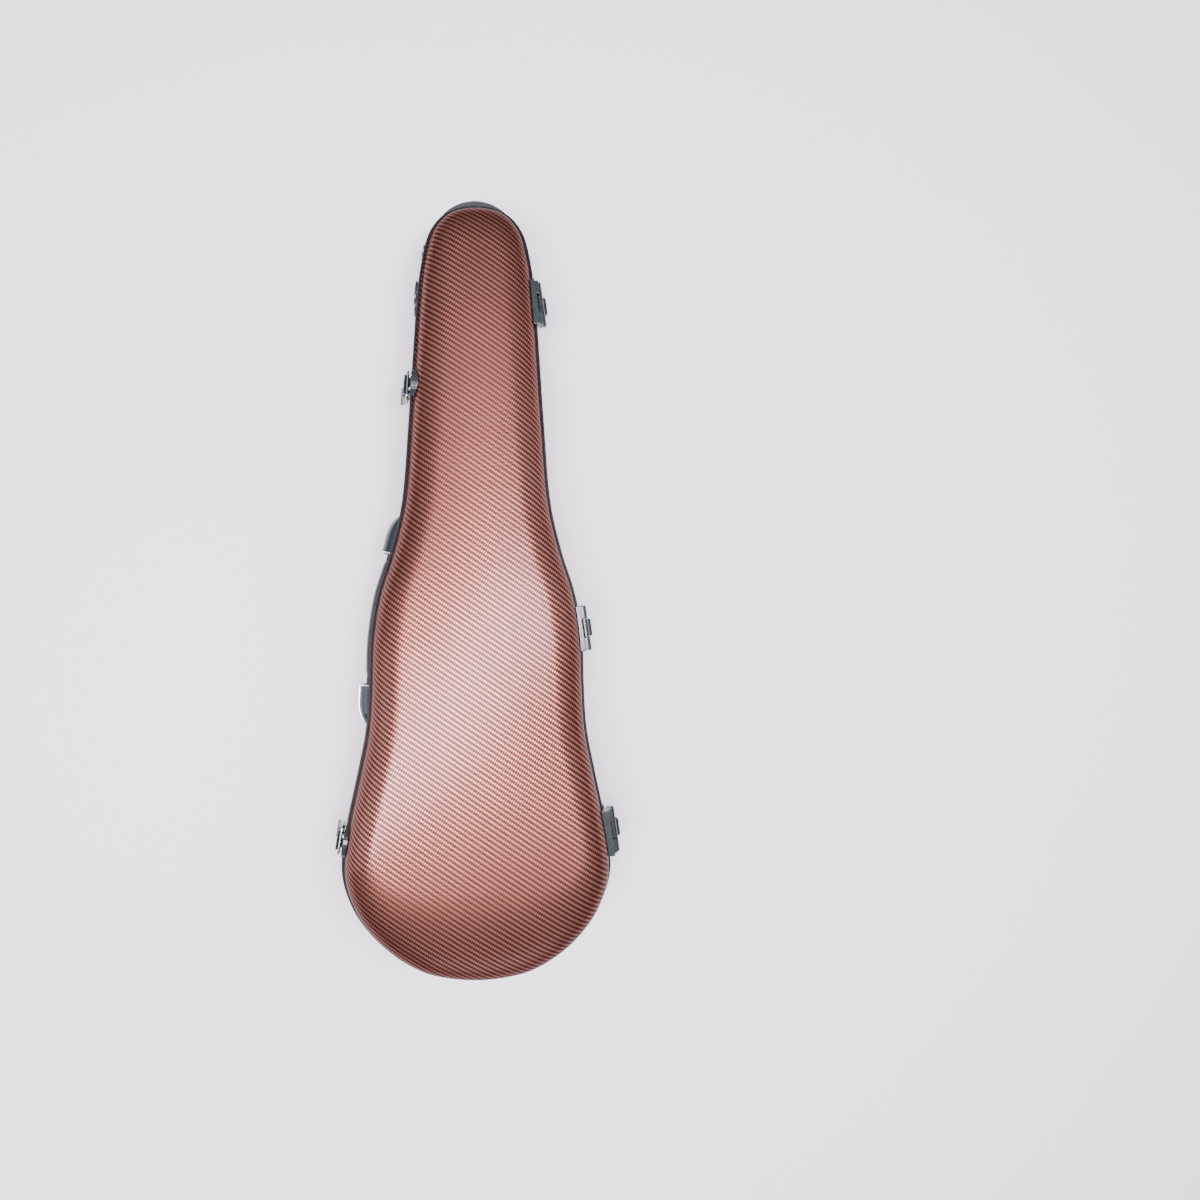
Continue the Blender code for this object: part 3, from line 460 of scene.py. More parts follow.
def twill_paint():
    """Pearl rose copper over carbon twill, under a thick clear coat."""
    paint = Paint("pearl_twill", (0.5, 0.2, 0.15), 0.3, Metallic=0.92, Coat_Weight=0.3,
                  Coat_Roughness=0.20, Coat_IOR=1.36, Specular_Tint=(0.16, 0.08, 0.05, 1.0))
    across, along = paint.flow("weave")
    i_place, j_place = paint.math("DIVIDE", across, TOW_ACROSS), paint.math("DIVIDE", along, TOW_ALONG)
    i, j = paint.math("FLOOR", i_place), paint.math("FLOOR", j_place)
    fi, fj = paint.math("SUBTRACT", i_place, i), paint.math("SUBTRACT", j_place, j)
    step = paint.math("FLOORED_MODULO", paint.math("ADD", i, j), 4.0)
    warp = paint.math("LESS_THAN", step, 1.5)

    def arch(part):
        return paint.math("SINE", paint.math("MULTIPLY", part, math.pi))

    def tow(side, run):
        lift = paint.math("MULTIPLY_ADD", arch(paint.math("MULTIPLY", run, 0.5)), 0.6, 0.4)
        return paint.math("MULTIPLY", arch(side), lift)

    warp_high = tow(fi, paint.math("ADD", step, fj))
    weft_high = tow(fj, paint.math("ADD", paint.math("SUBTRACT", step, 2.0), fi))
    high = paint.node("Mix", {"data_type": "FLOAT"}, Factor=warp, A=weft_high, B=warp_high).outputs[0]
    fibre_place = paint.node("CombineXYZ", X=paint.math("MULTIPLY", across, 9.0), Y=paint.math(
        "MULTIPLY", along, 1.2)).outputs[0]
    fibre = paint.noise(fibre_place, 1.0, 2.0)
    # Painted sheen and painted highlight: the warp tows are painted lighter than the weft, standing in for the
    # fibres' shine, and every tow is painted lighter along its crown, where its bump is highest.
    weave_with_painted_sheen = paint.math("MULTIPLY_ADD", warp, 0.46, paint.math("MULTIPLY", high, 0.40))
    weave_with_painted_sheen = paint.math("ADD", weave_with_painted_sheen, paint.math("MULTIPLY", fibre, 0.14))
    weave = paint.ramp(
        weave_with_painted_sheen, (0.05, (0.016, 0.005, 0.003)), (0.40, (0.080, 0.025, 0.016)), (0.72, (0.25, 0.090, 0.070)),
        (1.0, (0.50, 0.25, 0.23)))
    drift = paint.noise(paint.place(0.006), 1.0, 2.0)
    shade = paint.ramp(drift, (0.30, (0.80, 0.76, 0.74)), (0.70, (1.0, 1.0, 1.0)))
    paint.colour(paint.mix(1.0, weave, shade, "MULTIPLY"))
    paint.roughness(high, 0.42, 0.26)
    paint.bump(high, 0.16, 0.8)
    return paint.material


def rubber_paint(name, colour, roughness, grain):
    """Moulded rubber with a fine even grain."""
    paint = Paint(name, colour, roughness, Specular_IOR_Level=0.15)
    speck = paint.noise(paint.place(), grain, 4.0)
    bloom = paint.noise(paint.place(), 0.06, 3.0)
    paint.colour(paint.ramp(
        bloom, (0.3, colour), (0.75, tuple(1.7 * part for part in colour))))
    paint.roughness(paint.noise(paint.place(), 0.4, 3.0), roughness - 0.06, roughness + 0.10)
    paint.bump(speck, 0.05, 0.6)
    return paint.material


def enamel_paint():
    """Blue-black enamel on the pressed hardware, thinner and brighter where hands rub it."""
    paint = Paint("black_enamel", (0.008, 0.013, 0.015), 0.30, Specular_IOR_Level=0.35, Coat_Weight=0.25,
                  Coat_Roughness=0.10)
    rub = paint.noise(paint.place(), 0.22, 5.0)
    paint.colour(paint.ramp(rub, (0.35, (0.005, 0.009, 0.010)), (0.72, (0.014, 0.023, 0.025))))
    paint.roughness(paint.noise(paint.place(), 1.6, 4.0), 0.18, 0.36)
    paint.bump(paint.noise(paint.place(), 2.2, 2.0), 0.04, 0.5)
    return paint.material


def steel_paint(name, colour, roughness):
    """Polished metal with fine drawing lines."""
    paint = Paint(name, colour, roughness, Metallic=1.0)
    haze = paint.noise(paint.place(), 0.9, 5.0)
    paint.colour(paint.ramp(haze, (0.3, tuple(0.8 * part for part in colour)), (0.7, colour)))
    paint.roughness(haze, roughness * 0.7, roughness * 1.6)
    paint.bump(paint.noise(paint.place(), 6.0, 2.0), 0.01, 0.4)
    return paint.material


def velvet_paint():
    """Short charcoal pile that turns pale where it leans."""
    paint = Paint("velvet", (0.012, 0.012, 0.016), 0.95, Sheen_Weight=0.85, Sheen_Roughness=0.35,
                  Sheen_Tint=(0.55, 0.55, 0.62, 1.0))
    lean = paint.noise(paint.place(), 0.035, 4.0)
    pile = paint.noise(paint.place(), 2.6, 3.0)
    paint.colour(paint.ramp(lean, (0.3, (0.008, 0.008, 0.011)), (0.7, (0.024, 0.024, 0.031))))
    paint.bump(pile, 0.35, 0.6)
    return paint.material


def webbing_paint():
    """Woven strap: two by two ribs across and a twisted yarn along."""
    paint = Paint("webbing", (0.012, 0.013, 0.016), 0.7, Sheen_Weight=0.25, Sheen_Roughness=0.5)
    across, along = paint.flow("flow")
    rib = paint.math("ABSOLUTE", paint.math("SINE", paint.math("MULTIPLY", across, math.pi / 1.3)))
    slope = paint.math("ADD", paint.math("MULTIPLY", along, math.pi / 0.9), paint.math(
        "MULTIPLY", paint.math("FLOOR", paint.math("DIVIDE", across, 1.3)), math.pi / 2))
    yarn = paint.math("ABSOLUTE", paint.math("SINE", slope))
    weave = paint.math("MULTIPLY", rib, paint.math("MULTIPLY_ADD", yarn, 0.6, 0.4))
    # Painted shade and painted highlight: the colour follows the bump, darker in the grooves between ribs and yarn
    # turns and lighter on their tops.
    paint.colour(paint.ramp(weave, (0.1, (0.006, 0.006, 0.008)), (0.9, (0.030, 0.033, 0.038))))
    paint.roughness(weave, 0.8, 0.55)
    paint.bump(weave, 0.30, 0.9)
    return paint.material


def leather_paint():
    """Black grained leather with a soft polish on the grip."""
    paint = Paint("handle_leather", (0.014, 0.012, 0.012), 0.42, Specular_IOR_Level=0.25)
    grain = paint.cells(paint.place(), 1.15, "DISTANCE_TO_EDGE")
    pebble_height_and_crease_shade = paint.math("MINIMUM", paint.math("MULTIPLY", grain, 3.0), 1.0)
    crease = paint.noise(paint.place(), 0.12, 4.0)
    # Painted shade: the pebble grain darkens the colour down to half along the creases between the pebbles, where
    # its bump is lowest.
    paint.colour(paint.mix(
        1.0, paint.ramp(crease, (0.3, (0.010, 0.009, 0.009)), (0.75, (0.030, 0.024, 0.022))),
        paint.ramp(pebble_height_and_crease_shade, (0.0, (0.5, 0.5, 0.5)), (0.5, (1.0, 1.0, 1.0))), "MULTIPLY"))
    paint.roughness(crease, 0.34, 0.52)
    paint.bump(pebble_height_and_crease_shade, 0.12, 0.7)
    return paint.material


def thread_paint():
    """Waxed black thread, twisted in fine turns."""
    paint = Paint("stitch_thread", (0.05, 0.05, 0.055), 0.5, Sheen_Weight=0.2)
    twist = paint.node("TexWave", {"bands_direction": "DIAGONAL"}, Vector=paint.place(), Scale=1.6)
    # Painted shade and painted highlight: the colour follows the twist's bump, darker in its grooves and lighter
    # on its turns.
    paint.colour(paint.ramp(twist.outputs["Fac"], (0.2, (0.025, 0.025, 0.028)), (0.8, (0.075, 0.075, 0.08))))
    paint.bump(twist.outputs["Fac"], 0.06, 0.6)
    return paint.material


def gloss_paint():
    """Polished black moulding with hair-fine swirl marks."""
    paint = Paint("cap_gloss", (0.010, 0.020, 0.024), 0.07, Specular_IOR_Level=0.3, Coat_Weight=0.3,
                  Coat_Roughness=0.02)
    swirl = paint.noise(paint.place(), 0.5, 6.0)
    paint.colour(paint.ramp(swirl, (0.3, (0.007, 0.013, 0.016)), (0.7, (0.014, 0.026, 0.031))))
    paint.roughness(swirl, 0.04, 0.14)
    paint.bump(paint.noise(paint.place(), 3.0, 2.0), 0.01, 0.3)
    return paint.material


def plastic_paint():
    """Matt black moulded plastic with a spark-eroded texture."""
    paint = Paint("moulded_black", (0.018, 0.018, 0.020), 0.5)
    spark = paint.noise(paint.place(), 1.8, 4.0)
    # Random tone that is also painted shade: the same noise sets the bump, so the colour is darker in its pits.
    paint.colour(paint.ramp(spark, (0.3, (0.013, 0.013, 0.015)), (0.7, (0.024, 0.024, 0.027))))
    paint.roughness(spark, 0.42, 0.60)
    paint.bump(spark, 0.05, 0.6)
    return paint.material


TWILL = twill_paint()
BAND = rubber_paint("band_rubber", (0.006, 0.009, 0.012), 0.38, 1.4)
FOOT = rubber_paint("foot_rubber", (0.010, 0.014, 0.015), 0.42, 1.0)
ENAMEL = enamel_paint()
NICKEL = steel_paint("dark_nickel", (0.42, 0.42, 0.47), 0.14)
# Bright polished metal for the rivets and lips, also used for the bars that are painted highlights on the handle
# caps and latch levers.
BRIGHT = steel_paint("bright_metal_and_painted_highlights", (0.80, 0.88, 0.88), 0.20)
VELVET = velvet_paint()
WEBBING = webbing_paint()
LEATHER = leather_paint()
THREAD = thread_paint()
GLOSS = gloss_paint()
PLASTIC = plastic_paint()


# ---------------------------------------------------------------- shells and rim band
BASE_EDGE, LID_WALL, LINING_WALL = -3.0, (3.2, 5.2, 7.4), (3.6, 7.0)    # heights on the upright walls
LID_LINING = 2.4
BAND_SEAT = 0.3                 # the band stands on the wall from here
FLANGE_IN, FLANGE_TOP = -5.5, 2.6
MIDDLE_COLUMNS = 22


def crown_rise(x, y):
    """The part of the crown at a place: none at the outline, all of it along the middle."""
    ends = 1.0
    for distance, run in zip((y, LENGTH - y), CROWN_RUNS):
        ends *= 1 - (1 - min(1.0, max(0.0, distance / run))) ** 2
    aside = min(1.0, abs(x) / max(half_width(y), 1.0))
    return ends * (1 - aside**2) ** 1.5


def skin(name, rings, hand, crown):
    """An open skin through the rings, closed over the last one, with the cloth's own coordinates.

    The cloth lies flat over the middle and drapes outward over the corner, so that its length is kept.
    hand is 1 or -1, so that the ribs lean the same way wherever the case is looked at from outside."""
    rings = [np.asarray(ring) for ring in rings]
    inner = rings[-1]
    drape = rings[-2][:, :2] - inner[:, :2]
    drape /= np.linalg.norm(drape, axis=1)[:, None]
    cloth = [inner[:, :2]]
    for outer, ring in zip(rings[-2::-1], rings[:0:-1]):
        cloth.insert(0, cloth[0] + drape * np.linalg.norm(outer - ring, axis=1)[:, None])
    bm = bmesh.new()
    weave = bm.loops.layers.uv.new("weave")
    rows, flat = [], {}
    for ring, spots in zip(rings, cloth):
        row = [bm.verts.new((x, y, z + crown * crown_rise(x, y))) for x, y, z in ring]
        flat.update(zip(row, spots))
        rows.append(row)
    grid_faces(bm, rows, True)
    rim, half = rows[-1], len(inner) // 2
    crosswise = []
    for k in range(1, half):
        right, left = rim[k], rim[-k]
        row = [right]
        for c in range(1, MIDDLE_COLUMNS):
            x, y = right.co.x * (1 - 2 * c / MIDDLE_COLUMNS), right.co.y
            vertex = bm.verts.new((x, y, inner[k][2] + crown * crown_rise(x, y)))
            flat[vertex] = (vertex.co.x, vertex.co.y)
            row.append(vertex)
        crosswise.append([*row, left])
    grid_faces(bm, crosswise, False)
    for c in range(MIDDLE_COLUMNS):
        bm.faces.new((rim[0], crosswise[0][c], crosswise[0][c + 1]))
        bm.faces.new((rim[half], crosswise[-1][c + 1], crosswise[-1][c]))
    for face in bm.faces:
        for loop in face.loops:
            x, y = flat[loop.vert]
            loop[weave].uv = (hand * x * MM, y * MM)
    return from_bmesh(name, bm, angle=180)


def shell(name, rings, hand, crown, thickness, look, body, stands_for):
    """A skin with a wall of this thickness on its inner side."""
    piece = skin(name, rings, hand, crown)
    bm = bmesh.new()
    bm.from_mesh(piece.data)
    middle = sum((vertex.co for vertex in bm.verts), Vector()) / len(bm.verts)
    if sum(f.calc_area() * f.normal.dot(f.calc_center_median() - middle) for f in bm.faces) < 0:
        bmesh.ops.reverse_faces(bm, faces=bm.faces)
    bm.to_mesh(piece.data)
    bm.free()
    wall = piece.modifiers.new("wall", "SOLIDIFY")
    wall.thickness = thickness * MM
    wall.offset = -1
    applied(piece)
    return dressed(piece, look, body, (stands_for,))


shell("base_shell_twill", [level_ring(0, BASE_EDGE), *base_corner(0, 20)], -1, 0.0, SHELL, TWILL, "base",
      "base_shell")
shell("lid_shell_twill", [*(level_ring(0, z) for z in LID_WALL), *lid_corner(0, 18)], 1, LID_CROWN, SHELL, TWILL,
      "lid", "lid_shell")
shell("lid_lining_velvet", [*(level_ring(-LINING_GAP, z) for z in LINING_WALL), *lid_corner(-LINING_GAP, 12)], 1,
      LID_CROWN, LID_LINING, VELVET, "lid", "lid_lining")


def rim(name, sign, body, stands_for):
    """Half of the band: a proud crowned face with rounded edges, and a flange over the shell's edge."""
    edge, meet = 1.1, 0.06
    crest, fall, shoulder = 0.1, 0.35, 0.25
    face = [(BAND_PROUD + crest - fall * (z / BAND_HALF) ** 2, z) for z in np.linspace(meet, BAND_HALF - edge, 6)]
    corner = [
        (BAND_PROUD - shoulder - edge + edge * math.cos(a), BAND_HALF - edge + edge * math.sin(a))
        for a in np.linspace(0.15, math.pi / 2, 6)]
    profile = [*face, *corner, (BAND_SEAT, BAND_HALF), (BAND_SEAT, FLANGE_TOP), (FLANGE_IN + 0.5, FLANGE_TOP),
               (FLANGE_IN, FLANGE_TOP - 0.4), (FLANGE_IN, meet)]
    bm = bmesh.new()
    rows = [[bm.verts.new(point) for point in level_ring(out, sign * up)] for out, up in profile]
    grid_faces(bm, [*rows, rows[0]], True)
    dressed(from_bmesh(name, bm, angle=40), BAND, body, (stands_for,))


rim("base_rim_band", -1, "base", "base_rim")
rim("lid_rim_band", 1, "lid", "lid_rim")


# ---------------------------------------------------------------- lining of the base
lining = softened("base_lining", "base_lining_velvet", VELVET, "base", 2.2, 7)
cradle = softened("neck_cradle", "neck_cradle_pad", VELVET, "base", 0.9, 8)


NECK_STRAP = {"y": 520, "z": -7.4, "half": 15, "reach": 29.5, "thick": 2.2}


def neck_strap():
    """A flat strap across the neck that arches a millimetre in the middle."""
    reach, thick = NECK_STRAP["reach"], NECK_STRAP["thick"]
    rows = []
    for x in np.linspace(-reach, reach, 30):
        rise = 1 - (x / reach) ** 2
        rows.append((Vector((x, NECK_STRAP["y"], NECK_STRAP["z"] + rise)), Vector((0, 1, 0)), Vector((0, 0, 1))))
    section = rounded_bar(NECK_STRAP["half"], -thick / 2, thick / 2, 0.9)
    web = swept("neck_strap_web", rows, [section] * len(rows))
    dressed(web, WEBBING, "base", ("neck_strap",))


neck_strap()


# ---------------------------------------------------------------- hinges and side feet
for place in HINGE_PLACES:
    softened(f"hinge_{place}_base_leaf", f"hinge_{place}_base_cast", ENAMEL, "base")
    softened(f"hinge_{place}_lid_leaf", f"hinge_{place}_lid_cast", ENAMEL, "lid")
    softened(f"side_foot_{place}", f"side_foot_{place}_moulded", FOOT, "base")
    NODES[f"hinge_{place}_pin"].data.materials.clear()
    NODES[f"hinge_{place}_pin"].data.materials.append(NICKEL)


# ---------------------------------------------------------------- rivets
RIVET_HEAD = [                  # (part of the radius, height)
    (0, 0.42), (0.35, 0.44), (0.5, 0.62), (0.72, 0.55), (0.92, 0.30), (1, 0.05), (1, -0.5), (0, -0.5)]


def rivet(name, place, x, y, z, radius, body):
    """A bright domed rivet head with a dimple, standing z above the plate's own frame."""
    profile = [(radius * part, height) for part, height in RIVET_HEAD]
    spot = place @ Matrix.Translation((x, y, z))
    dressed(turned(name, spot, profile, 28, 80), BRIGHT, body)


# ---------------------------------------------------------------- latches
KEEPER_RIVETS = {"a": -6.5, "b": 6.5}
KEEPER_RIVET_UP, KEEPER_RIVET_OUT, KEEPER_RIVET_RADIUS = 17.3, 3.1, 1.9
# Bright metal bars across the outer face of the lever, at these heights: the lower one is a painted highlight
# along the bend of the lever's lip, and the upper one stands for the cross pin, drawn only as its painted
# highlight.
LEVER_HIGHLIGHT_LINES, LEVER_HIGHLIGHT_REACH = {"upper": -14.2, "lower": -37.5}, 8.9


def bail_path():
    """The bent bail from one end in the trunnion, over the hook's bar, to the other end."""
    out, up = BAIL_PIVOT
    bar_out, bar_up = BAIL_BAR
    half = [(0, bar_out, bar_up), (BAIL_HALF - 3.4, bar_out, bar_up), (BAIL_HALF - 1.2, bar_out, bar_up - 0.6),
            (BAIL_HALF - 0.1, bar_out, bar_up - 2.6), (BAIL_HALF, (bar_out + out) / 2, (bar_up + up) / 2),
            (BAIL_HALF - 0.1, out, up + 2.4), (BAIL_HALF - 1.2, out, up + 0.5), (BAIL_HALF - 3.2, out, up),
            (6.6, out, up)]
    side = smooth_path(half, 5)
    return [(-x, v, w) for x, v, w in side[:0:-1]] + [tuple(point) for point in side]


def latch(place, y):
    spot = wall_frame(-1, y)
    softened(f"latch_{place}_plate", f"latch_{place}_base_plate", ENAMEL, "base", 0.26, 2)
    softened(f"latch_{place}_lever", f"latch_{place}_lever_pressed", ENAMEL, f"{place}_lever",
             0.26, 3)
    softened(f"latch_{place}_keeper", f"latch_{place}_keeper_pressed", ENAMEL, "lid", 0.28, 3)
    for node in ("pin", "trunnion"):
        piece = NODES[f"latch_{place}_{node}"]
        piece.data.materials.clear()
        piece.data.materials.append(NICKEL)
    bail = wire(f"latch_{place}_bail_wire", spot, bail_path(), BAIL_WIRE)
    dressed(bail, NICKEL, f"{place}_bail", (f"latch_{place}_bail",))
    to_fan = spot @ OUT_IS_Z
    for rivet_name, u in KEEPER_RIVETS.items():
        rivet(f"latch_{place}_keeper_rivet_{rivet_name}", to_fan, u, KEEPER_RIVET_UP, KEEPER_RIVET_OUT,
              KEEPER_RIVET_RADIUS, "lid")
    upward, outward = spot.to_3x3() @ Vector((0, 0, 1)), spot.to_3x3() @ Vector((0, 1, 0))
    # Painted highlights: thin bright bars laid across the lever.
    for line, w in LEVER_HIGHLIGHT_LINES.items():
        rows = [(spot @ Vector((u, LEVER_OUTSIDE, w)), upward, outward)
                for u in np.linspace(-LEVER_HIGHLIGHT_REACH, LEVER_HIGHLIGHT_REACH, 9)]
        section = rounded_bar(0.55, -0.3, 0.22, 0.2, 3)
        band = swept(f"latch_{place}_lever_line_{line}", rows, [section] * len(rows))
        dressed(band, BRIGHT, f"{place}_lever")


for place, y in LATCH_PLACES.items():
    latch(place, y)


# ---------------------------------------------------------------- side handle
def handle_rows(start, end, count, lift):
    rows = []
    for y in np.linspace(start, end, count):
        spot = wall_frame(-1, y, HANDLE_Z)
        rows.append((spot @ Vector((0, lift, 0)), Vector((0, 0, 1)), spot.col[1].xyz))
    return rows


def grip_section(part):
    """Across the grip: flat towards the shell, padded outward, with a rolled edge. part is 0 at its end."""
    swell = 1 - (1 - min(1.0, part * 9)) ** 2
    half = 13.2 + 1.3 * swell
    edge, crown = 2.0 + 0.5 * swell, 0.9 + 1.3 * swell
    points = []
    for a in np.linspace(-half + 1, half - 1, 23):
        t = a / (half - 1)
        points.append((-a, edge + crown * (1 - abs(t) ** 3.2)))
    points += [(-half + 0.3, edge - 0.5), (-half, 1.0), (-half + 0.3, 0.25), (-half + 1.2, 0), (half - 1.2, 0),
               (half - 0.3, 0.25), (half, 1.0), (half - 0.3, edge - 0.5)]
    return points


def stitches(name, rows, across, lift, pitch, length):
    """A row of separate short stitches that follows the rows at one distance across."""
    bm = bmesh.new()
    walked, due = 0.0, pitch / 2
    for (p, side, out), (q, _, _) in zip(rows, rows[1:]):
        step = (q - p).length
        while due < walked + step:
            centre = p.lerp(q, (due - walked) / step) + side * across + out * lift
            along = (q - p).normalized()
            sewn = bmesh.ops.create_uvsphere(bm, u_segments=8, v_segments=6, radius=0.5)["verts"]
            shape = Matrix((along * length, side * 0.62, out * 0.5)).transposed().to_4x4()
            bmesh.ops.transform(bm, verts=sewn, matrix=Matrix.Translation(centre) @ shape)
            due += pitch
        walked += step
    return from_bmesh(name, bm, angle=180)


MIDDLE = sum(GRIP_ENDS) / 2
GRIP_ROWS, GRIP_LIFT = 34, 1.8
TINE_ROWS, TINE_LIFT, TINE_ASIDE = 16, 3.0, 6.4
SEAM_ASIDE, SEAM_LIFT = 11.4, 3.35


def half_handle(place, grip_end, cap_y, direction):
    """One half of the grip with its two tines, reaching from the cap to the middle of the grip."""
    rows = handle_rows(grip_end, MIDDLE - direction * 0.05, GRIP_ROWS, GRIP_LIFT)
    sections = [grip_section(k / (GRIP_ROWS - 1)) for k in range(GRIP_ROWS)]
    grip = swept(f"handle_grip_{place}_half", rows, sections, 40)
    tines = []
    for side, w in (("back", -TINE_ASIDE), ("lid", TINE_ASIDE)):
        path = handle_rows(cap_y - direction * 6, grip_end + direction * 5, TINE_ROWS, TINE_LIFT)
        path = [(point + across * w, across, out) for point, across, out in path]
        tines.append(swept(f"handle_tine_{place}_{side}", path, [rounded_bar(4.1, 0, 2.2, 0.7, 3)] * TINE_ROWS))
    seams = [
        stitches(f"handle_seam_{place}_{side}", rows[1:], across, SEAM_LIFT, 3.1, 2.1)
        for side, across in (("back", -SEAM_ASIDE), ("lid", SEAM_ASIDE))]
    looks = [(grip, LEATHER), *((tine, LEATHER) for tine in tines), *((seam, THREAD) for seam in seams)]
    for piece, look in looks:
        dressed(piece, look, None)
        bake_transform(piece)
    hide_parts("handle_grip")
    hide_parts(f"handle_tongue_{place}")


half_handle("lower", GRIP_ENDS[0], HANDLE_CAPS["lower"], 1)
half_handle("upper", GRIP_ENDS[1], HANDLE_CAPS["upper"], -1)


CAP_ROWS, CAP_HOLLOW_ROWS, CAP_WALL = 26, 20, 1.8
CAP_SINK = -0.6                 # the cap's edge reaches this far below the wall


def cap_ring(u, high, wide, steps=30):
    """Half a turn over the cap and straight down to the shell on both sides."""
    arch = [(u, high * math.sin(a), wide * math.cos(a)) for a in np.linspace(0, math.pi, steps)]
    return [(u, CAP_SINK, wide), *arch, (u, CAP_SINK, -wide)]


def handle_cap(place, y):
    """A polished half-round cap with a raised bright metal band along its crest that is a painted highlight, and a
    bright lip at its mouth.
    """
    spot = wall_frame(-1, y, HANDLE_Z)
    mouth = 1 if place == "lower" else -1
    sizes = []
    for part in np.linspace(0, 1, CAP_ROWS):
        drop = max(0.0, (part - 0.35) / 0.65)
        sizes.append((part, 1 - 0.5 * drop**2.6, 1 - 0.18 * drop**4))
    bm = bmesh.new()
    rows = []
    for part, high, wide in sizes:
        u = mouth * CAP_LENGTH * (0.5 - part)
        rows.append([bm.verts.new(p) for p in cap_ring(u, high * CAP_HIGH, wide * CAP_HALF)])
    bm.faces.new(rows[-1])
    inside = []
    for part, high, wide in sizes[:CAP_HOLLOW_ROWS]:
        u = mouth * CAP_LENGTH * (0.5 - part)
        hollow = cap_ring(u, high * CAP_HIGH - CAP_WALL, wide * CAP_HALF - CAP_WALL)
        inside.append([bm.verts.new(p) for p in hollow])
    bm.faces.new(inside[-1][::-1])
    grid_faces(bm, [*inside[::-1], *rows], False)
    cap = from_bmesh(f"handle_cap_{place}_polished", bm, spot, 32)
    dressed(cap, GLOSS, "base", (f"handle_cap_{place}",))

    upward, outward = spot.to_3x3() @ Vector((0, 0, 1)), spot.to_3x3() @ Vector((0, 1, 0))
    path = [(spot @ Vector((mouth * CAP_LENGTH * (0.5 - part), high * CAP_HIGH, 0)), upward, outward)
            for part, high, _ in sizes[:-1]]
    curl = 0.035                # the highlight band's edges follow the round of the cap
    # Painted highlight: a bright metal band laid along the crest of the cap, where the cap's own highlight falls.
    highlight_strip = [(a, o - curl * a * a / 2) for a, o in rounded_bar(3.6, -1.2, 0.55, 0.4, 3)]
    dressed(swept(f"handle_cap_{place}_strip", path, [highlight_strip] * len(path)), BRIGHT, "base")
    lip = [(mouth * (CAP_LENGTH / 2 - 0.5), (CAP_HIGH - 0.7) * math.sin(a), (CAP_HALF - 0.7) * math.cos(a))
           for a in np.linspace(0.02, math.pi - 0.02, 40)]
    dressed(wire(f"handle_cap_{place}_lip", spot, lip, 0.95), BRIGHT, "base")


for place, y in HANDLE_CAPS.items():
    handle_cap(place, y)


# ---------------------------------------------------------------- strap anchors
ANCHORS = {"side": 6.0, "back": 6.0, "corner_hinge_side": 8.0, "corner_handle_side": 8.0}    # height of the plate
ANCHOR_RIVETS, ANCHOR_RIVET_RADIUS = {"outer": -7.0, "inner": 5.0}, 1.5


def ring_frame(joint):
    """The frame of a strap ring, its x along the shell and z out of it, from the joint that it swings on."""
    turn = CASE.to_3x3().normalized().inverted()
    along_bar = -(turn @ Vector(joint["axis"]))
    point = CASE.inverted() @ Vector(joint["pos_m"])
    low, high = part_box(f"anchor_{joint['child'].removesuffix('_ring')}_ring")
    ahead = turn @ ((low + high) / 2 - Vector(joint["pos_m"]))
    ahead = (ahead - along_bar * ahead.dot(along_bar)).normalized()
    return axes_frame(point, ahead, along_bar, ahead.cross(along_bar)) @ Matrix.Translation(
        (-RING_BAR[0], 0, -RING_BAR[1]))


def strap_anchor(place, height):
    spot = ring_frame(JOINTS[f"{place}_ring_swing"])
    softened(f"anchor_{place}_plate", f"anchor_{place}_plate_pressed", ENAMEL, "base", 0.26, 3)
    bend = [(RING_BAR[0] + RING_RADIUS * (1 + math.cos(a)), RING_RADIUS * math.sin(a), RING_BAR[1])
            for a in np.linspace(math.radians(-110), math.radians(110), 44)]
    bar = [(RING_BAR[0] + ahead, RING_RADIUS - inward, RING_BAR[1])
           for ahead, inward in ((2.2, 0.5), (0.5, 1.5), (0, 3))]
    path = bend + bar + [(x, -y, z) for x, y, z in bar[::-1]]
    ring = wire(f"anchor_{place}_ring_wire", spot, path, RING_WIRE, True)
    dressed(ring, ENAMEL, f"{place}_ring", (f"anchor_{place}_ring",))
    for name, x in ANCHOR_RIVETS.items():
        rivet(f"anchor_{place}_rivet_{name}", spot, x, 0, height + 0.75, ANCHOR_RIVET_RADIUS, "base")


for place, height in ANCHORS.items():
    strap_anchor(place, height)


# ---------------------------------------------------------------- end handle
END_REACH, END_ARCH = 49.5, 11
SLEEVE_REACH = 33
END_SEAM_ASIDE = 8.0


def end_rows():
    """Rows over the neck end that lift off the dome in the middle."""
    station = [row for row in outline(420) if row[1] > LENGTH - 80 and abs(row[0]) <= END_REACH]
    station.sort(key=lambda row: row[0])
    rows = []
    for x, y, nx, ny in station[:: max(1, len(station) // 70)]:
        lift = 1.0 + END_ARCH * (1 - (x / END_REACH) ** 2) ** 2
        rows.append((Vector((x + nx * lift, y + ny * lift, END_HANDLE_Z)), Vector((0, 0, 1)), Vector((nx, ny, 0))))
    return rows


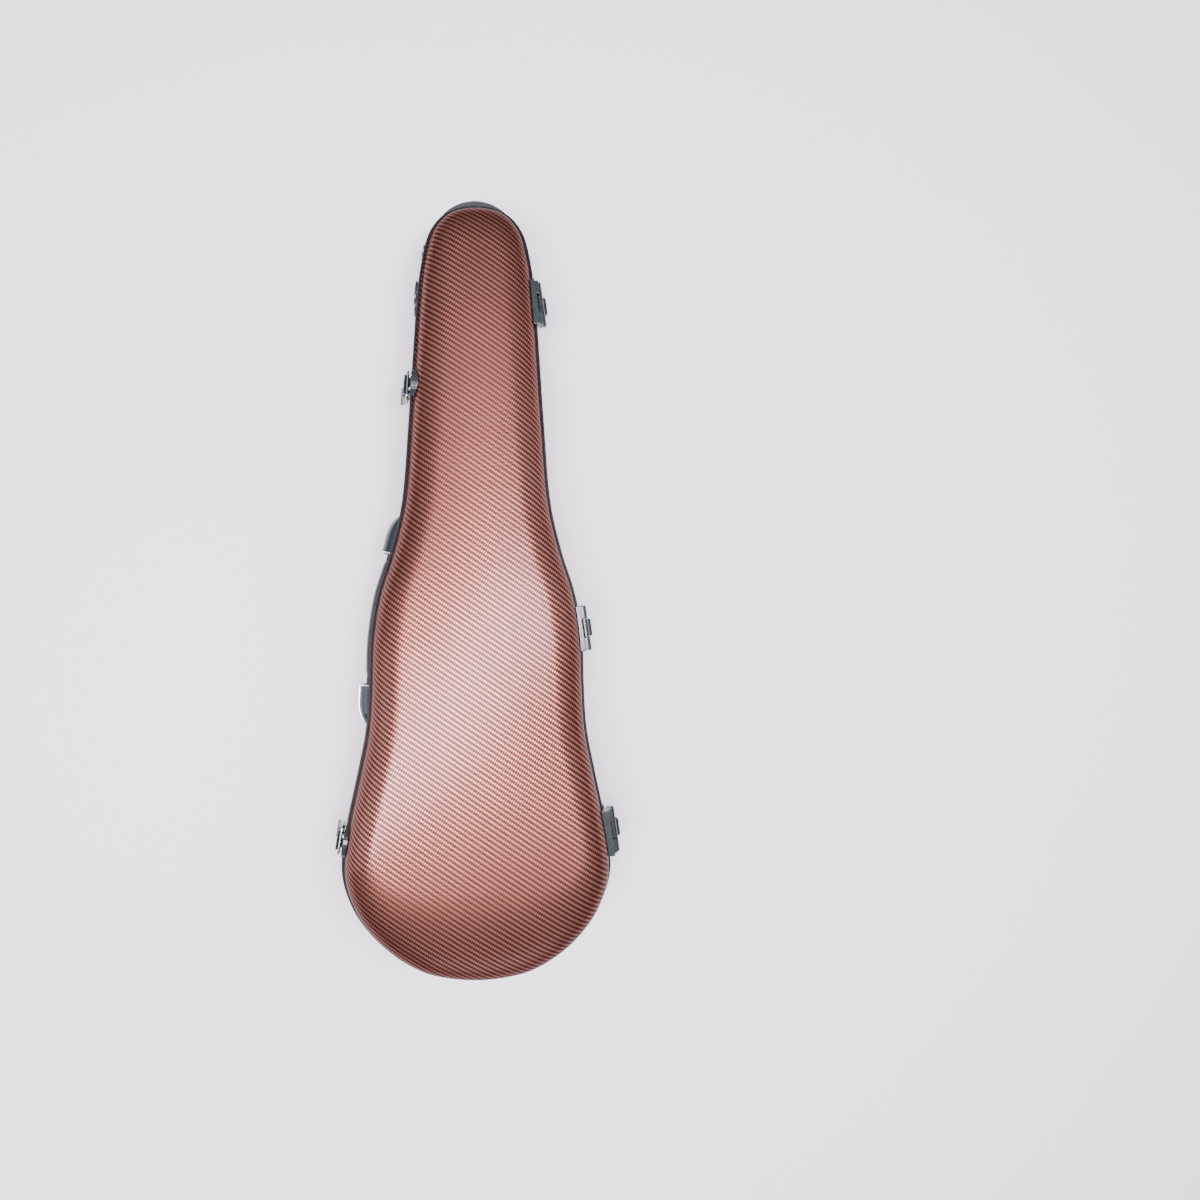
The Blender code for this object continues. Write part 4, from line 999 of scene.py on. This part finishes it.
def end_handle():
    """Webbing over the neck end, with a stitched sleeve round its middle."""
    rows = end_rows()
    web = swept("end_handle_web", rows, [rounded_bar(10, 0, 1.7, 0.7)] * len(rows))
    dressed(web, WEBBING, "base", ("end_handle_strap",))
    upper = [row for row in rows if abs(row[0].x) < SLEEVE_REACH]
    sections = []
    for k in range(len(upper)):
        part = abs(2 * k / (len(upper) - 1) - 1)
        sections.append(rounded_bar(9.2 - 1.2 * part**6, 0, 1.8, 0.8))
    sleeve = swept("end_handle_sleeve", [(p + o * 1.5, a, o) for p, a, o in upper], sections)
    dressed(sleeve, LEATHER, "base")
    for side, across in (("back", -END_SEAM_ASIDE), ("lid", END_SEAM_ASIDE)):
        seam = stitches(f"end_handle_seam_{side}", upper, across, 3.3, 2.9, 2.0)
        dressed(seam, THREAD, "base")
    for side in ("handle_side", "hinge_side"):
        softened(f"end_plate_{side}", f"end_plate_{side}_cast", ENAMEL, "base", 0.3, 3)


end_handle()

# ---------------------------------------------------------------- bow holders in the lid
for side in ("handle_side", "hinge_side"):
    softened(f"bow_mount_{side}", f"bow_mount_{side}_moulded", PLASTIC, "lid", 0.5, 2)
    softened(f"bow_spinner_{side}", f"bow_spinner_{side}_moulded", PLASTIC, f"bow_spinner_{side}",
             0.4, 4)
    softened(f"bow_tip_loop_{side}", f"bow_tip_loop_{side}_sewn", VELVET, "lid", 0.5, 3)

# ---------------------------------------------------------------- feet
END_FOOT_TIP = (0, -11, -46)
END_FOOT_PROFILE = [            # (radius, height over the tip)
    (0, 0.4), (4.6, 0.4), (5.0, 0), (7.0, 0), (7.8, 0.5), (8.2, 1.5), (10.4, 14.0), (10.4, 17), (0, 17)]
NECK_FOOT_PROFILE = [(0, 0.5), (5.2, 0.5), (5.6, 0), (9.0, 0), (10.0, 0.5), (10.4, 1.6)]


def feet():
    """The conical foot of the bottom end and the round foot that the back stands on."""
    spot = axes_frame(END_FOOT_TIP, (1, 0, 0), (0, 0, -1), (0, 1, 0))
    dressed(turned("end_foot_moulded", spot, END_FOOT_PROFILE), FOOT, "base", ("end_foot",))
    low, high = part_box("neck_foot")
    centre = CASE.inverted() @ Vector(((low.x + high.x) / 2, (low.y + high.y) / 2, low.z))
    spot = Matrix.Translation(centre) @ Matrix.Rotation(-TILT, 4, "X")
    top = (high.z - low.z) / MM - 0.4
    foot = turned("neck_foot_moulded", spot, [*NECK_FOOT_PROFILE, (10.8, top), (0, top)])
    dressed(foot, FOOT, "base", ("neck_foot",))


feet()


# ---------------------------------------------------------------- floor, light and camera
SKY = (0.22, 1.5)               # brightness at the horizon and overhead
SKY_COLOUR, FLOOR_COLOUR, LIGHT_COLOUR = (0.95, 0.95, 1.0, 1.0), (0.86, 0.86, 0.87), (1.0, 0.91, 1.0)
LAMPS = (                       # name, place, aim, size and power, in metres and watts
    ("softbox", (-0.07, -0.08, 1.9), (0, -0.05, 0.1), (0.34, 1.75), 95.0),
    ("left_panel", (-1.9, -0.3, 1.0), (0, 0, 0.08), (0.8, 1.6), 12.0),
    ("right_panel", (1.9, 0.4, 1.1), (0, 0, 0.08), (0.8, 1.6), 6.0),
    ("low_end", (0.3, -2.1, 0.9), (0, 0, 0.08), (1.4, 0.7), 5.0))
FLOOR_HALF, FLOOR_DROP = 4.0, 0.0003
LENS, SHIFT = 29.0, 0.103
CAMERA_LEAN, CAMERA_DISTANCE, CAMERA_AIM = math.radians(3.0), 1.011, LENGTH / 2 - 11.7


def studio():
    floor = bpy.data.meshes.new("floor")
    bm = bmesh.new()
    bmesh.ops.create_grid(bm, x_segments=1, y_segments=1, size=FLOOR_HALF)
    bm.to_mesh(floor)
    bm.free()
    floor = as_piece("floor", floor)
    floor.location.z = -FLOOR_DROP
    pale = Paint("pale_floor", FLOOR_COLOUR, 0.7)
    floor.data.materials.append(pale.material)

    world = bpy.data.worlds.new("studio")
    bpy.context.scene.world = world
    world.use_nodes = True
    nodes, links = world.node_tree.nodes, world.node_tree.links
    parts = nodes.new("ShaderNodeSeparateXYZ")
    height = nodes.new("ShaderNodeMapRange")
    links.new(nodes.new("ShaderNodeTexCoord").outputs["Generated"], parts.inputs["Vector"])
    links.new(parts.outputs["Z"], height.inputs["Value"])
    height.inputs["To Min"].default_value, height.inputs["To Max"].default_value = SKY
    links.new(height.outputs["Result"], nodes["Background"].inputs["Strength"])
    nodes["Background"].inputs["Color"].default_value = SKY_COLOUR

    for name, place, aim, size, power in LAMPS:
        data = bpy.data.lights.new(name, "AREA")
        data.shape = "RECTANGLE"
        data.size, data.size_y = size
        data.energy = power
        data.color = LIGHT_COLOUR
        lamp = bpy.data.objects.new(name, data)
        bpy.context.scene.collection.objects.link(lamp)
        lamp.location = place
        lamp.rotation_euler = (Vector(aim) - Vector(place)).to_track_quat("-Z", "Y").to_euler()


def camera():
    """Above the lid with the neck up, leaning slightly to the handle side."""
    data = bpy.data.cameras.new("camera")
    data.lens = LENS
    data.shift_x = SHIFT
    lens = bpy.data.objects.new("camera", data)
    bpy.context.scene.collection.objects.link(lens)
    target = CASE @ Vector((0, CAMERA_AIM, 0))
    back = Vector((-math.sin(CAMERA_LEAN), 0, math.cos(CAMERA_LEAN)))
    side = Vector((0, 1, 0)).cross(back)
    lens.matrix_world = Matrix.Translation(target + back * CAMERA_DISTANCE) @ Matrix(
        (side, back.cross(side), back)).transposed().to_4x4()
    bpy.context.scene.camera = lens


studio()
camera()
